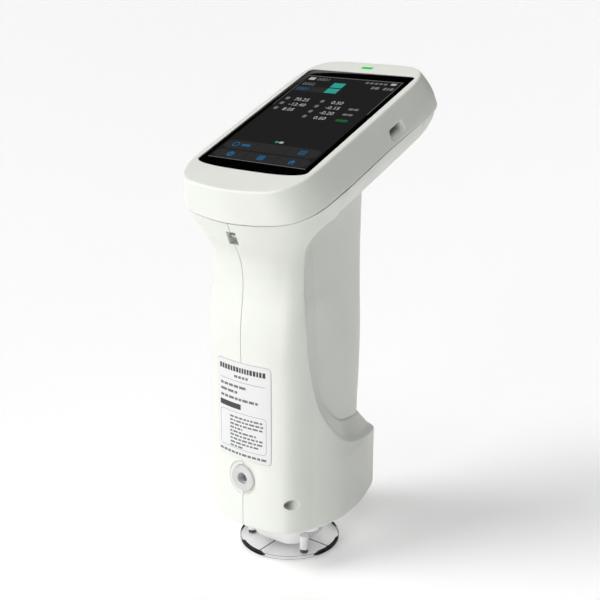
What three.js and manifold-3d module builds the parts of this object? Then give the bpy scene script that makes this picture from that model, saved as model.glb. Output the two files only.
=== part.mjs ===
// Handheld colour spectrophotometer, standing on its locating plate.
// Millimetres, +Z up, the label side faces -Y and the charging socket is on the +X side.
// Drawing frame: y = 0 lies under the middle of the screen, z = 0 is the underside of the
// locating plate. The whole assembly is moved by DEPTH_SHIFT so that its footprint is centred.
import * as THREE from 'three';
import { mergeVertices } from 'three/addons/utils/BufferGeometryUtils.js';
import Module from 'manifold-3d';

const wasm = await Module();
wasm.setup();

// ---------------------------------------------------------------- driving dimensions
const DEPTH_SHIFT = -2.78;        // puts the middle of the footprint on y = 0
const HEAD_TILT = 21.54;          // degrees, the head rises towards +Y
const SCREEN_Z = 185.3;           // height of the middle of the screen
const WALL = 2.4;                 // housing wall
const GAP = 0.3;                  // clearance between touching pieces
const FOOT_Z = 18.2;              // underside of the foot
const PORT_Y = -11.55;            // measuring axis
const PLATE_R = 22.1;             // locating plate radius
const PLATE_T = 1.7;              // locating plate thickness
const UNDER_O = -23.0;            // underside of the head, below the screen plane
const CAP_Y = 36.2;               // upright seam of the end cap
const BUTTON_TRAVEL = 2.0;
const GLASS_HALF = 27.37;
const LABEL_W = 28, LABEL_Z0 = 49.1, LABEL_Z1 = 91.5;
const INSERT_Z = 40.4, INSERT_R = 6.1;

// ---------------------------------------------------------------- materials
const M = (color, roughness = 0.5, metalness = 0) => new THREE.MeshStandardMaterial({ color, roughness, metalness });
const mat = {
  shell: M(0xe9eae4, 0.45), glass: M(0x050506, 0.08), lcd: M(0x202022, 0.5), label: M(0xd5d7d8, 0.5),
  steel: M(0xb9bbbd, 0.3, 1), darkSteel: M(0x55585c, 0.35, 1), clear: M(0xdfe9ea, 0.05), green: M(0x1fe048, 0.3),
  black: M(0x111214, 0.5), board: M(0x1c5a36, 0.55), cream: M(0xf4f2ea, 0.8), alu: M(0x8f9397, 0.4, 1),
  battery: M(0x3b5f8c, 0.4), nose: M(0xf1f1ee, 0.4),
};
mat.clear.transparent = true; mat.clear.opacity = 0.35;

// ---------------------------------------------------------------- helpers
const rad = (d) => d * Math.PI / 180;
const T = rad(HEAD_TILT), CT = Math.cos(T), ST = Math.sin(T);
const headMatrix = new THREE.Matrix4().makeRotationX(T).setPosition(0, 0, SCREEN_Z);
const at = (x, y, z) => new THREE.Matrix4().makeTranslation(x, y, z);

function solid(geometry, matrix) {
  let g = geometry.clone();
  if (matrix) g.applyMatrix4(matrix);
  for (const k of Object.keys(g.attributes)) if (k !== 'position') g.deleteAttribute(k);
  g = mergeVertices(g, 1e-4);
  const idx = g.index.array, keep = [];
  for (let i = 0; i < idx.length; i += 3) {
    const [a, b, c] = [idx[i], idx[i + 1], idx[i + 2]];
    if (a !== b && b !== c && a !== c) keep.push(a, b, c);
  }
  return new wasm.Manifold(new wasm.Mesh({
    numProp: 3, vertProperties: new Float32Array(g.attributes.position.array), triVerts: new Uint32Array(keep),
  }));
}
function geometryOf(m) {
  const k = m.getMesh();
  const g = new THREE.BufferGeometry();
  const p = new Float32Array(k.numVert * 3);
  for (let i = 0; i < k.numVert; i++) for (let j = 0; j < 3; j++) p[3 * i + j] = k.vertProperties[k.numProp * i + j];
  g.setAttribute('position', new THREE.BufferAttribute(p, 3));
  g.setIndex(new THREE.BufferAttribute(new Uint32Array(k.triVerts), 1));
  return g;
}
const join = (...parts) => parts.reduce((a, b) => a.add(b));
const cut = (a, ...tools) => tools.reduce((s, t) => s.subtract(t), a);

// closed loft through rings of equal length, each ring counter-clockwise seen from its far end
function loft(rings) {
  const n = rings[0].length, p = [], t = [];
  for (const r of rings) for (const v of r) p.push(...v);
  for (let k = 0; k + 1 < rings.length; k++) for (let i = 0; i < n; i++) {
    const a = k * n + i, b = k * n + (i + 1) % n, c = a + n, d = b + n;
    t.push(a, b, d, a, d, c);
  }
  const mid = (r) => r.reduce((s, v) => [s[0] + v[0] / n, s[1] + v[1] / n, s[2] + v[2] / n], [0, 0, 0]);
  const c0 = p.length / 3; p.push(...mid(rings[0]));
  const c1 = p.length / 3; p.push(...mid(rings[rings.length - 1]));
  const top = (rings.length - 1) * n;
  for (let i = 0; i < n; i++) {
    t.push(c0, (i + 1) % n, i);
    t.push(c1, top + i, top + (i + 1) % n);
  }
  const g = new THREE.BufferGeometry();
  g.setAttribute('position', new THREE.BufferAttribute(new Float32Array(p), 3));
  g.setIndex(t);
  return g;
}
// prism of a plane outline; axis z: outline (x, y); axis x: outline (y, z); axis y: outline (x, z)
function prism(outline, axis, from, to) {
  const area = outline.reduce((s, v, i) => { const w = outline[(i + 1) % outline.length]; return s + v[0] * w[1] - w[0] * v[1]; }, 0);
  const pts = (area < 0 ? [...outline].reverse() : outline).map((v) => new THREE.Vector2(v[0], v[1]));
  const g = new THREE.ExtrudeGeometry(new THREE.Shape(pts), { depth: to - from, bevelEnabled: false, curveSegments: 1 });
  const m = new THREE.Matrix4();
  if (axis === 'x') m.makeBasis(new THREE.Vector3(0, 1, 0), new THREE.Vector3(0, 0, 1), new THREE.Vector3(1, 0, 0)).setPosition(from, 0, 0);
  else if (axis === 'y') m.makeBasis(new THREE.Vector3(1, 0, 0), new THREE.Vector3(0, 0, 1), new THREE.Vector3(0, -1, 0)).setPosition(0, to, 0);
  else m.makeTranslation(0, 0, from);
  return g.applyMatrix4(m);
}
const box = (x0, x1, y0, y1, z0, z1) => new THREE.BoxGeometry(x1 - x0, y1 - y0, z1 - z0).translate((x0 + x1) / 2, (y0 + y1) / 2, (z0 + z1) / 2);
function roundRect(w, h, r, seg = 4, cx = 0, cy = 0) {
  const o = [];
  for (const [sx, sy, a0] of [[1, 1, 0], [-1, 1, 90], [-1, -1, 180], [1, -1, 270]])
    for (let i = 0; i <= seg; i++) {
      const a = rad(a0 + 90 * i / seg);
      o.push([cx + sx * (w / 2 - r) + r * Math.cos(a), cy + sy * (h / 2 - r) + r * Math.sin(a)]);
    }
  return o;
}
// turned piece: profile of [radius, height] pairs, closed or ending on the axis
function turned(profile, seg = 24) {
  const g = new THREE.LatheGeometry(profile.map((v) => new THREE.Vector2(v[0], v[1])), seg);
  return g.applyMatrix4(new THREE.Matrix4().makeRotationX(Math.PI / 2));
}
const rod = (r, z0, z1, seg = 20) => turned([[0, z0], [r, z0], [r, z1], [0, z1]], seg);
const alongX = new THREE.Matrix4().makeRotationY(Math.PI / 2);
const alongY = new THREE.Matrix4().makeRotationX(-Math.PI / 2);
function interp(table, v) {
  if (v <= table[0][0]) return table[0][1];
  for (let i = 1; i < table.length; i++) if (v <= table[i][0]) {
    const [a, fa] = table[i - 1], [b, fb] = table[i];
    return fa + (fb - fa) * (v - a) / (b - a);
  }
  return table[table.length - 1][1];
}

// ---------------------------------------------------------------- outlines (half, x >= 0)
// foot and spine, from the middle of the front to the middle of the back
const OUTER = [[0, -43.6], [5, -43.35], [10, -42.7], [14.5, -41.6], [18, -40.0], [20.5, -38.1], [22.4, -35.6], [23.7, -33],
  [24.5, -30.8], [25.1, -29], [25.9, -26.8], [26.6, -24.6], [27.4, -21.5], [28.3, -17], [28.8, -12], [28.5, -6.5], [27.7, -0.5], [26.5, 5.5],
  [24.8, 11.5], [22.6, 17.8], [20.6, 22.8], [18.2, 26.6], [14.6, 29.1], [9.5, 30.4], [4.5, 30.9], [0, 31]];
// inset grip behind the spine, point for point
const GRIP = [[0, -43.6], [5, -43.35], [10, -42.7], [14.5, -41.6], [18, -40.0], [19.8, -38.1], [20.4, -35.6], [20.8, -33],
  [21.1, -30.8], [21.3, -29], [21.6, -26.8], [21.9, -24.6], [22.4, -21.5], [22.9, -17], [23.1, -12], [22.9, -6.5], [22.2, -0.5], [20.9, 5.3],
  [19.3, 10.8], [17.3, 15.2], [15.3, 18.6], [13.0, 21.0], [10.0, 22.6], [6.6, 23.5], [3.2, 23.9], [0, 24]];
// rim of the head's top face, in the plane of the screen (x, y')
const RIM = [[0, -57.6], [6, -57.2], [12, -56.2], [18, -54.5], [22, -52.6], [25.3, -50.3], [28.2, -46.9], [30.6, -42.4], [32.3, -37],
  [33.2, -30], [33.5, -20], [33.5, -6], [33.4, 8], [33.2, 21], [32.8, 31], [31.6, 38.6], [29.4, 43.6], [26.0, 47.4], [21.2, 49.9], [15.2, 51.3], [8, 51.9], [0, 52.1]];
// outer edge of the flat bezel, matched to RIM point by point
const BEZEL = [[0, -57.11], [5.8, -56.84], [11.5, -56.25], [17, -55.3], [20.9, -54.1], [23.8, -52.1], [26.5, -49], [28.4, -45.3], [29.6, -41.0],
  [30.1, -34], [30.2, -21], [30.3, -6], [30.35, 8], [30.4, 21], [30.3, 31], [29.8, 38], [28.3, 43.3], [25.8, 47.3], [21.6, 50.0], [15.8, 51.0], [8.2, 51.15], [0, 51.2]];

const mirror = (half) => {        // full counter-clockwise ring starting at the front
  const left = half.slice(1, -1).reverse().map(([x, y]) => [-x, y]);
  return [...half, ...left];
};
function normals(ring) {
  const n = ring.length;
  return ring.map((_, i) => {
    const a = ring[(i + n - 1) % n], b = ring[(i + 1) % n];
    const dx = b[0] - a[0], dy = b[1] - a[1], l = Math.hypot(dx, dy) || 1;
    return [dy / l, -dx / l];
  });
}
const grow = (ring, by) => { const q = normals(ring); return ring.map((v, i) => { const d = typeof by === 'function' ? by(q[i]) : by; return [v[0] + q[i][0] * d, v[1] + q[i][1] * d]; }); };

// height of the seam between the upper and lower head housings, below the screen plane
const SEAM = [[-90, -13.4], [-48, -13.2], [-30, -12.5], [0, -12.5], [16, -13.2], [30, -14.1], [44, -15.3], [90, -18.6]];
const seamO = (yp) => interp(SEAM, yp);
// world height of the seam over a drawing-frame y
const seamZ = (y) => { let yp = y; for (let k = 0; k < 6; k++) yp = (y + seamO(yp) * ST) / CT; return SCREEN_Z + yp * ST + seamO(yp) * CT; };

// side view of the hand recess: outer edge and how far in its floor starts
const RECESS = [[60, 43.2], [31, 44.4], [22, 45.6], [5, 48.6], [-6.5, 51.6], [-14, 56.1], [-20.1, 62.4], [-24.8, 70], [-27.8, 78.6], [-29.8, 88.6],
  [-30.5, 99], [-30.7, 111.6], [-31.1, 124], [-32.1, 136], [-31.9, 141], [-30.6, 145], [-28, 148.2], [-24, 150.6], [-20.2, 152.2], [-20, 400], [60, 400]];
function recessDepth(y, z) {       // positive inside the recess, mm from its edge in the side view
  let inside = false, best = 1e9;
  for (let i = 0; i < RECESS.length; i++) {
    const [ay, az] = RECESS[i], [by, bz] = RECESS[(i + 1) % RECESS.length];
    if ((az > z) !== (bz > z) && y < (by - ay) * (z - az) / (bz - az) + ay) inside = !inside;
    if (ay >= 59 && by >= 59) continue;
    const ux = by - ay, uz = bz - az, t = Math.max(0, Math.min(1, ((y - ay) * ux + (z - az) * uz) / (ux * ux + uz * uz)));
    best = Math.min(best, Math.hypot(y - ay - t * ux, z - az - t * uz));
  }
  return inside ? best : -best;
}
function recessShare(y, z) {
  const d = recessDepth(y, z);
  if (d <= 0) return 0;
  const wide = z > 140 ? 3 : interp([[45, 9.4], [56, 8.6], [75, 7.2], [140, 6.8]], z);
  const t = Math.min(1, d / wide);
  return t < 0.22 ? 0.36 * t / 0.22 : 0.36 + 0.64 * (1 - Math.pow(1 - (t - 0.22) / 0.78, 1.5));
}
// waist of the front and how it flares into the head
const waist = (z) => interp([[88, 0], [98, -0.12], [104, -0.08], [109, 0.12], [114.6, 0.48], [119.6, 0.86], [125, 1], [300, 1]], z);
const flare = (u) => interp([[-14, 1.28], [-6, 1.2], [0, 1], [4, 0.81], [9.2, 0.56], [12.8, 0.33], [15.5, 0.19], [18.4, 0.09], [24, 0]], u);
// head outline at the seam seen from above, matched point for point with the front of OUTER
const SEAM_PLAN = [[0, -50.9], [6.4, -50.5], [12.8, -49.4], [18.6, -47.8], [23, -45.8], [26.3, -43.4], [29.2, -40.1], [31.6, -36.2],
  [33.0, -33], [33.8, -30.4], [34.3, -27.2], [34.6, -24.4], [34.8, -21], [34.9, -16.6], [34.9, -11.6]];
// the head swells at its near corners
const swellAt = (u) => interp([[-14, 1], [0, 1], [3, 0.86], [5.5, 0.5], [8.5, 0.14], [12, 0]], u);
function swellOf(i) {
  const a = SEAM_PLAN[Math.max(0, i - 1)], b = SEAM_PLAN[Math.min(SEAM_PLAN.length - 1, i + 1)];
  const l = Math.hypot(b[0] - a[0], b[1] - a[1]), dx = (b[0] - a[0]) / l, dy = (b[1] - a[1]) / l, k = 1.4 * (2 * dx * dy) ** 2;
  return [k * dy, -k * dx];
}
function bodyRing(z, inset = 0) {
  const half = OUTER.map(([ox, oy], i) => {
    const w = waist(z), q = Math.max(0, Math.min(1, (-28 - oy) / 12));
    let x = ox - 1.1 * w * Math.min(1, ox / 18) * q - (oy < -20 ? 0.4 * w * Math.min(1, ox / 20) : 0), y = oy + 1.8 * w * q;
    if (i < SEAM_PLAN.length) {
      const [sx, sy] = SEAM_PLAN[i], b = flare(seamZ(sy) - z);
      x += (sx - x) * b; y += (sy - y) * b;
      const w2 = swellAt(seamZ(sy) - z), [ex, ey] = swellOf(i);
      x += ex * w2; y += ey * w2;
    }
    const s = recessShare(oy, z), [gx, gy] = GRIP[i];
    return [x + (gx - x) * s, y + (gy - y) * s];
  });
  let ring = mirror(half);
  if (inset) ring = grow(ring, -inset);
  return ring.map(([x, y]) => [x, y, z]);
}
function headRing(o, side, front, far, nearCorner = 0, farCorner = 0, power = 2, lean = 0) {
  return grow(mirror(RIM), ([nx, ny]) => {
    const slant = Math.abs(2 * nx * ny);
    return side * nx * nx + (ny < 0 ? front : far) * ny * ny + (ny < 0 ? nearCorner * slant ** 2 : farCorner * slant ** power);
  }).map(([x, y]) => [x + Math.sign(x) * Math.min(1, Math.abs(x) / 25) * lean * y / 40, y, o]);
}

// ---------------------------------------------------------------- housing bodies
const LEVELS = [19.2, 30, 42, 45.5, 48.5, 51.5, 54.5, 57.5, 61, 65, 70, 77, 88, 99, 109, 116, 122, 128, 133, 137.5, 141.5, 145, 148, 151, 155.5, 162, 172];
const bodyOuter = solid(loft([bodyRing(FOOT_Z).map(([x, y, z]) => [x * 0.965, (y + 7) * 0.965 - 7, z]), ...LEVELS.map((z) => bodyRing(z))]));
const headLowOuter = solid(loft([
  headRing(UNDER_O, -3.4, -6, -5.4, 0, 1.4, 1.2, 0.65), headRing(UNDER_O + 0.9, -2.4, -4.6, -3.6, 0, 1.5, 1.2, 0.65),
  headRing(-18.5, -0.45, -1.6, 0.9, 0.2, 1.5, 1.2, 0.35), headRing(-15.4, 0.75, 0.6, 3.4, 0.6, 1.5, 1.2), headRing(-13, 1.45, 1.8, 4.4, 1.0, 1.4, 1.2), headRing(-9, 2.2, 2.8, 5.2, 1.0, 1.2, 1.2),
]), headMatrix);
const seamPoly = (above, gap) => {
  const line = SEAM.map(([y, o]) => [y, o + gap]);
  return above ? [...line, [90, 40], [-90, 40]] : [...line, [90, -60], [-90, -120]];
};
const belowSeam = solid(prism(seamPoly(false, -0.15), 'x', -60, 60), headMatrix).add(solid(box(-60, 60, -80, 30, -5, 100)));
const aboveSeam = solid(prism(seamPoly(true, 0.15), 'x', -60, 60), headMatrix);

// hollow of the lower housing
const footHollow = solid(loft([20.8, 30, 41.2].map((z) => bodyRing(z, WALL))));
const gripPlan = (z, inset) => bodyRing(z, inset);
const spineHollow = solid(loft([[40.9, 70], [60, 62], [72, 74], [90, 90], [106, 106], [116, 116], [125, 125], [134, 134], [141, 138], [150, 138], [176, 138]].map(([z, zz]) => {
  const ring = gripPlan(zz, WALL);
  const back = mirror(GRIP), q = grow(back, -WALL);
  return ring.map(([x, y], i) => (Math.abs(x) > 12 || y > -20) ? [Math.sign(x) * Math.min(Math.abs(x), Math.abs(q[i][0])), Math.min(y, q[i][1]), z] : [x, y, z]);
})));
const headHollow = solid(loft([
  headRing(UNDER_O + WALL, -5.4, -9.5, -8.5), headRing(-17.6, -3.2, -6.2, -3), headRing(-13.2, -1.2, -1.6, 0.6), headRing(-3.1, -4, -2.6, -1.8),
]), headMatrix);

let lower = cut(bodyOuter.add(headLowOuter).intersect(belowSeam), footHollow, spineHollow, headHollow);

// bosses that the case screws run into
const HOLE_Y = -37.4, HOLE_Z = 32.1;
const lowBoss = solid(rod(4.4, -17, 19, 18), at(0, HOLE_Y + 2.2, HOLE_Z).multiply(alongX)).intersect(bodyOuter);
lower = lower.add(lowBoss);
// head screws run up through the underside of the head
const HEAD_SCREWS = [[-27.6, -20], [27.6, -20], [-20, 43.6], [20, 43.6]];
for (const [x, y] of HEAD_SCREWS) {
  const boss = solid(rod(2.4, UNDER_O + 1.2, seamO(y) - 0.15, 16), headMatrix.clone().multiply(at(x, y, 0)));
  lower = lower.add(boss);
  lower = cut(lower,
    solid(rod(1.8, UNDER_O - 3, UNDER_O + 3.2, 16), headMatrix.clone().multiply(at(x, y, 0))),
    solid(rod(1.0, UNDER_O, 2 + seamO(y), 12), headMatrix.clone().multiply(at(x, y, 0))));
}
// opening in the foot for the nose, with a ledge for the base plate
const footPort = roundRect(31, 31, 9.5, 5, 0, PORT_Y);
lower = cut(lower, solid(prism(footPort, 'z', 15, 24)));
// recess for the label, following the front
function frontStrip(half, z0, z1, out, inn, steps = 10) {
  const xs = Array.from({ length: steps + 1 }, (_, i) => -half + 2 * half * i / steps);
  const yOf = (x) => interp(OUTER.slice(0, 6), Math.abs(x));
  const o = [...xs.map((x) => [x, yOf(x) - out]), ...[...xs].reverse().map((x) => [x, yOf(x) + inn])];
  return solid(prism(o, 'z', z0, z1));
}
lower = cut(lower, frontStrip(LABEL_W / 2 + 0.3, LABEL_Z0 - 0.3, LABEL_Z1 + 0.3, 3, 0.35));
// seat and hole for the threaded insert
const insertAt = at(0, -43.5, INSERT_Z).multiply(alongY);   // local +Z runs into the housing
lower = lower.add(solid(rod(7.9, 1.2, 10.6, 20), insertAt));
lower = cut(lower,
  solid(rod(2.45, 8.4, 32, 20), at(0, HOLE_Y, HOLE_Z).multiply(alongX)),
  solid(rod(1.5, -9, 10, 14), at(0, HOLE_Y, HOLE_Z).multiply(alongX)));
lower = cut(lower, solid(rod(7.5, -4, 0.75, 28), insertAt), solid(rod(INSERT_R + GAP, -1, 12, 24), insertAt));
// lanyard slot on the centre seam
const SLOT_Z = 144.3, SLOT_H = 5.4, SLOT_W = 4.8;
lower = lower.add(solid(box(-4.4, 4.4, -47.4, -40.2, SLOT_Z - 5, SLOT_Z + 4.6)).intersect(bodyOuter).intersect(belowSeam));
lower = cut(lower, solid(box(-SLOT_W / 2, SLOT_W / 2, -60, -42.6, SLOT_Z - SLOT_H / 2, SLOT_Z + SLOT_H / 2)));
const barHole = solid(rod(1.0, -3.9, 3.9, 12), at(0, -45.8, SLOT_Z + 0.5).multiply(alongX));
lower = cut(lower, barHole);
// opening for the trigger, on the back of the grip under the head
const BTN_Z0 = 126, BTN_Z1 = 153, BTN_W = 15;
lower = cut(lower, solid(prism(roundRect(BTN_W, BTN_Z1 - BTN_Z0, 5.5, 5, 0, (BTN_Z0 + BTN_Z1) / 2), 'y', 19, 30)));
// end cap of the head, split off by an upright plane
const capRegion = solid(box(-60, 60, CAP_Y + 0.15, 90, 150, 220));
const restRegion = solid(box(-60, 60, -90, CAP_Y - 0.15, 0, 220));
const endCap = lower.intersect(capRegion);
lower = lower.intersect(restRegion);
const rightShell = lower.intersect(solid(box(0.12, 60, -90, 90, 0, 220)));
const leftShell = lower.intersect(solid(box(-60, -0.12, -90, 90, 0, 220)));

// ---------------------------------------------------------------- head, upper housing
const wideRing = headRing(-12, 1.75, 2.3, 4.4, 1.5, 1.1), cornerRing = grow(mirror(BEZEL), 0.3), belly = [];
grow(mirror(RIM), ([nx, ny]) => { belly.push(ny > 0 ? (2 * nx * ny) ** 2 : 0); return 0; });
const draftRing = (o) => wideRing.map(([x, y], i) => {      // drafted side, seam level to bezel corner, bellied at the far corners
  const t = ((o + 12) / 12.3) ** (1 + 0.55 * belly[i]), [cx, cy] = cornerRing[i];
  return [x + (cx - x) * t, y + (cy - y) * t, o];
});
const topOuter = solid(loft([
  headRing(-21, 2.1, 3.9, 5.3, 1.5, 1.4), headRing(-16.5, 1.95, 3.2, 5.0, 1.5, 1.3), wideRing, draftRing(-8), draftRing(-4), draftRing(-0.25),
  grow(mirror(BEZEL), -0.25).map(([x, y]) => [x, y, 0.3]),
]), headMatrix).intersect(aboveSeam);
function glassOutline(grow) {      // straight far edge, bulging near edge
  const w = GLASS_HALF + grow, o = [];
  const r = 2.2, yb = 42.07 + grow, ya = -38.4, c = 4.3 + grow;
  for (let i = 0; i <= 3; i++) { const a = rad(30 * i); o.push([w - r + r * Math.cos(a), yb - r + r * Math.sin(a)]); }
  for (let i = 0; i <= 3; i++) { const a = rad(90 + 30 * i); o.push([-w + r + r * Math.cos(a), yb - r + r * Math.sin(a)]); }
  for (let i = 0; i <= 16; i++) { const s = -1 + i / 8, e = Math.pow(1 - Math.pow(Math.abs(s), 3.2), 1 / 2.2); o.push([w * s, ya - c * e]); }
  return o;
}
let top = cut(topOuter, headHollow,
  solid(prism(glassOutline(GAP), 'z', -1.8, 5), headMatrix),
  solid(prism(roundRect(50.6, 76, 1, 1, 0, 0.2), 'z', -6, 5), headMatrix),
  solid(prism(roundRect(7.2, 1.7, 0.8, 3, 0, 46.9), 'z', -6, 5), headMatrix));
// socket opening and the moulded dish round it
const usbAt = headMatrix.clone().multiply(at(0, 13, -8.5));
top = cut(top,
  solid(prism(roundRect(9.9, 4.2, 2.0, 4), 'x', 23.4, 45), usbAt),
  solid(loft([roundRect(11.6, 6.2, 2.6, 4).map(([y, z]) => [-1.1, y, z]), roundRect(17, 9.6, 4.2, 4).map(([y, z]) => [1.35, y, z])]),
    usbAt.clone().multiply(at(33.8, 0, 0)).multiply(new THREE.Matrix4().makeRotationY(-rad(18.85)))));
for (const [x, y] of HEAD_SCREWS) {
  top = top.add(solid(rod(2.4, seamO(y) + 0.15, -2.4, 16), headMatrix.clone().multiply(at(x, y, 0))).intersect(topOuter));
  top = cut(top, solid(rod(1.0, seamO(y) - 2, -6.5, 12), headMatrix.clone().multiply(at(x, y, 0))));
}

// ---------------------------------------------------------------- nodes
const root = new THREE.Group();
const assembly = new THREE.Group();
assembly.position.y = DEPTH_SHIFT;
root.add(assembly);
const head = new THREE.Group();
head.position.z = SCREEN_Z;
head.rotation.x = T;
assembly.add(head);
function node(name, shape, material, parent = assembly) {
  const g = shape.isBufferGeometry ? geometryOf(solid(shape)) : geometryOf(shape);
  const m = new THREE.Mesh(g, material);
  m.name = name;
  parent.add(m);
  return m;
}
node('left_shell', leftShell, mat.shell);
node('right_shell', rightShell, mat.shell);
node('head_end_cap', endCap, mat.shell);
node('top_cover', top, mat.shell);

// screen
node('touch_glass', solid(prism(glassOutline(0), 'z', -1.45, 0.05)), mat.glass, head);
node('lcd_module', solid(prism(roundRect(49.4, 74.6, 1, 1, 0, 0.2), 'z', -4.4, -1.8)), mat.lcd, head);
node('display_board', cut(solid(prism(roundRect(46, 80, 2, 2, 0, -1), 'z', -6.3, -4.75))
  .add(solid(box(-8, 8, 38, 47.2, -6.3, -4.75)))
  .add(solid(prism(roundRect(34, 12, 1, 1, 0, -30), 'z', -8.6, -6.28)))
  .add(solid(box(-3, 3, 43.5, 47, -4.76, -3.75))), solid(rod(1.6, -9, 0, 12), at(0, 36, 0))), mat.board, head);
node('status_light_pipe', solid(prism(roundRect(6.6, 1.1, 0.5, 3, 0, 46.9), 'z', -3.0, 0.4)).add(solid(prism(roundRect(5.8, 1.1, 0.5, 3, 0, 46.9), 'z', -3.4, -2.9))), mat.green, head);

// charging and data socket
const usbShell = cut(solid(prism(roundRect(9.2, 3.5, 1.7, 4), 'x', 24.3, 33.0)), solid(prism(roundRect(8.5, 2.8, 1.35, 4), 'x', 25.1, 40)));
node('usb_socket_shell', usbShell.translate([0, 13, -8.5]), mat.steel, head);
node('usb_socket_tongue', solid(prism(roundRect(6.6, 0.8, 0.3, 2), 'x', 25.4, 31.7)).translate([0, 13, -8.5]), mat.black, head);

// label and front fittings
node('rating_label', (() => {
  const xs = Array.from({ length: 11 }, (_, i) => -LABEL_W / 2 + LABEL_W * i / 10);
  const yOf = (x) => interp(OUTER.slice(0, 6), Math.abs(x));
  const r = 2, o = [];
  const strip = solid(prism([...xs.map((x) => [x, yOf(x) - 0.15]), ...[...xs].reverse().map((x) => [x, yOf(x) + 0.03])], 'z', LABEL_Z0, LABEL_Z1));
  return strip.intersect(solid(prism(roundRect(LABEL_W, LABEL_Z1 - LABEL_Z0, r, 3, 0, (LABEL_Z0 + LABEL_Z1) / 2), 'y', -60, -30)));
})(), mat.label);
node('stand_insert', solid(turned([[2.25, 0.3], [5.7, 0.3], [INSERT_R, 0.7], [INSERT_R, 9.4], [0, 9.4], [0, 7.6], [2.25, 7.6], [2.25, 0.3]], 28), insertAt), mat.alu);
node('lanyard_bar', solid(rod(0.7, -3.5, 3.5, 12), at(0, -45.8, SLOT_Z + 0.5).multiply(alongX)), mat.steel);
node('case_screw_lower', cut(solid(turned([[0, -7.5], [1.15, -7], [1.15, 8.7], [2.1, 8.7], [2.1, 10], [1.8, 10.4], [0, 10.4]], 14)),
  solid(prism(roundRect(2.2, 2.2, 0.6, 1), 'z', 9.5, 12))).transform(at(0, HOLE_Y, HOLE_Z).multiply(alongX).elements), mat.darkSteel);
HEAD_SCREWS.forEach(([x, y], i) => {
  const s = cut(solid(turned([[0, 0.2], [1.3, 0.2], [1.5, 0.5], [1.5, 1.9], [0.7, 1.9], [0.7, 13.5], [0, 14]], 12)), solid(prism(roundRect(1.4, 1.4, 0.4, 1), 'z', -1, 1.0)));
  node(`head_screw_${i + 1}`, s.translate([x, y, UNDER_O + 0.9]), mat.darkSteel, head);
});

// base plate, nose and locating plate
let base = solid(prism(roundRect(49, 35, 7, 4, 0, PORT_Y), 'z', 15.4, FOOT_Z - GAP));
base = cut(base, solid(prism(roundRect(28.1, 28.1, 8.6, 5, 0, PORT_Y), 'z', 10, 30)));
for (const sx of [-1, 1]) for (let k = 0; k < 5; k++) {     // slots along both sides, 5 mm apart
  const y = PORT_Y - 11.3 + k * 5;
  base = cut(base, solid(box(sx > 0 ? 22.6 : -30, sx > 0 ? 30 : -22.6, y, y + 2.6, 14, 17)));
}
node('base_plate', base, mat.nose);
const POSTS = [[-14.6, -8.4], [14.6, -8.4], [0, 16.85]];   // three posts, evenly spaced round the port
let nose = solid(loft([roundRect(24.6, 24.6, 7.4, 5, 0, PORT_Y), roundRect(26.4, 26.4, 8, 5, 0, PORT_Y), roundRect(27.2, 27.2, 8.2, 5, 0, PORT_Y), roundRect(27.4, 27.4, 8.2, 5, 0, PORT_Y)]
  .map((r, i) => r.map(([x, y]) => [x, y, [3.2, 4.2, 8, 21.6][i]]))));
for (const [x, y] of POSTS) nose = nose.add(solid(rod(1.95, PLATE_T + GAP, 8.4, 16), at(x, PORT_Y + y, 0)));
nose = nose.add(solid(box(-1.9, 1.9, PORT_Y + 12.5, PORT_Y + 16.8, 4.4, 8.4)));
nose = cut(nose, solid(rod(9.9, 0, 30, 28), at(0, PORT_Y, 0)));
for (const [x, y] of POSTS) nose = cut(nose, solid(rod(0.95, 0, 7.2, 12), at(x, PORT_Y + y, 0)));
node('nose_housing', nose, mat.nose);
node('aperture_ring', solid(turned([[4, 2.5], [7.2, 2.2], [9.5, 2.2], [9.5, 9], [8, 9], [8, 5], [4, 3.6], [4, 2.5]], 24), at(0, PORT_Y, 0)), mat.black);
let plate = solid(turned([[6.6, 0], [PLATE_R - 0.35, 0], [PLATE_R, 0.35], [PLATE_R, PLATE_T - 0.35], [PLATE_R - 0.35, PLATE_T], [6.6, PLATE_T], [6.6, 0]], 44), at(0, PORT_Y, 0));
for (const [x, y] of POSTS) plate = cut(plate, solid(rod(1.2, -1, 3, 12), at(x, PORT_Y + y, 0)), solid(rod(2.2, -1, 0.75, 14), at(x, PORT_Y + y, 0)));
node('locating_plate', plate, mat.clear);
POSTS.forEach(([x, y], i) => {
  const s = solid(turned([[0, 0.1], [1.6, 0.1], [1.8, 0.25], [1.8, 0.45], [0.65, 0.45], [0.65, 6], [0, 6.6]], 12));
  node(`plate_screw_${i + 1}`, s.translate([x, PORT_Y + y, 0]), mat.steel);
});

// optics in the foot and grip
const SPH_Z = 40.6, SR = 16.6, SW = 1.8;
const ball = (r) => new THREE.SphereGeometry(r, 20, 12).rotateX(Math.PI / 2).translate(0, PORT_Y, SPH_Z);
let sphere = cut(solid(ball(SR)).add(solid(rod(9.4, 22.4, 28, 24), at(0, PORT_Y, 0))), solid(ball(SR - SW)));
sphere = cut(sphere, solid(rod(7.4, 15, 32, 24), at(0, PORT_Y, 0)), solid(rod(4.2, 50, 70, 20), at(0, PORT_Y, 0)),
  solid(rod(3.2, 8, 30, 16), at(0, PORT_Y, SPH_Z + 6).multiply(alongY)));
node('sphere_lower', sphere.intersect(solid(box(-40, 40, -60, 40, 0, SPH_Z - 0.15))), mat.cream);
node('sphere_upper', sphere.intersect(solid(box(-40, 40, -60, 40, SPH_Z + 0.15, 90))), mat.cream);
node('lamp_board', solid(box(-9, 9, 10.2, 11.8, 38, 54)).add(solid(rod(2.5, 5.4, 10.3, 16), at(0, 0, SPH_Z + 6).multiply(alongY))), mat.board);
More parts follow.
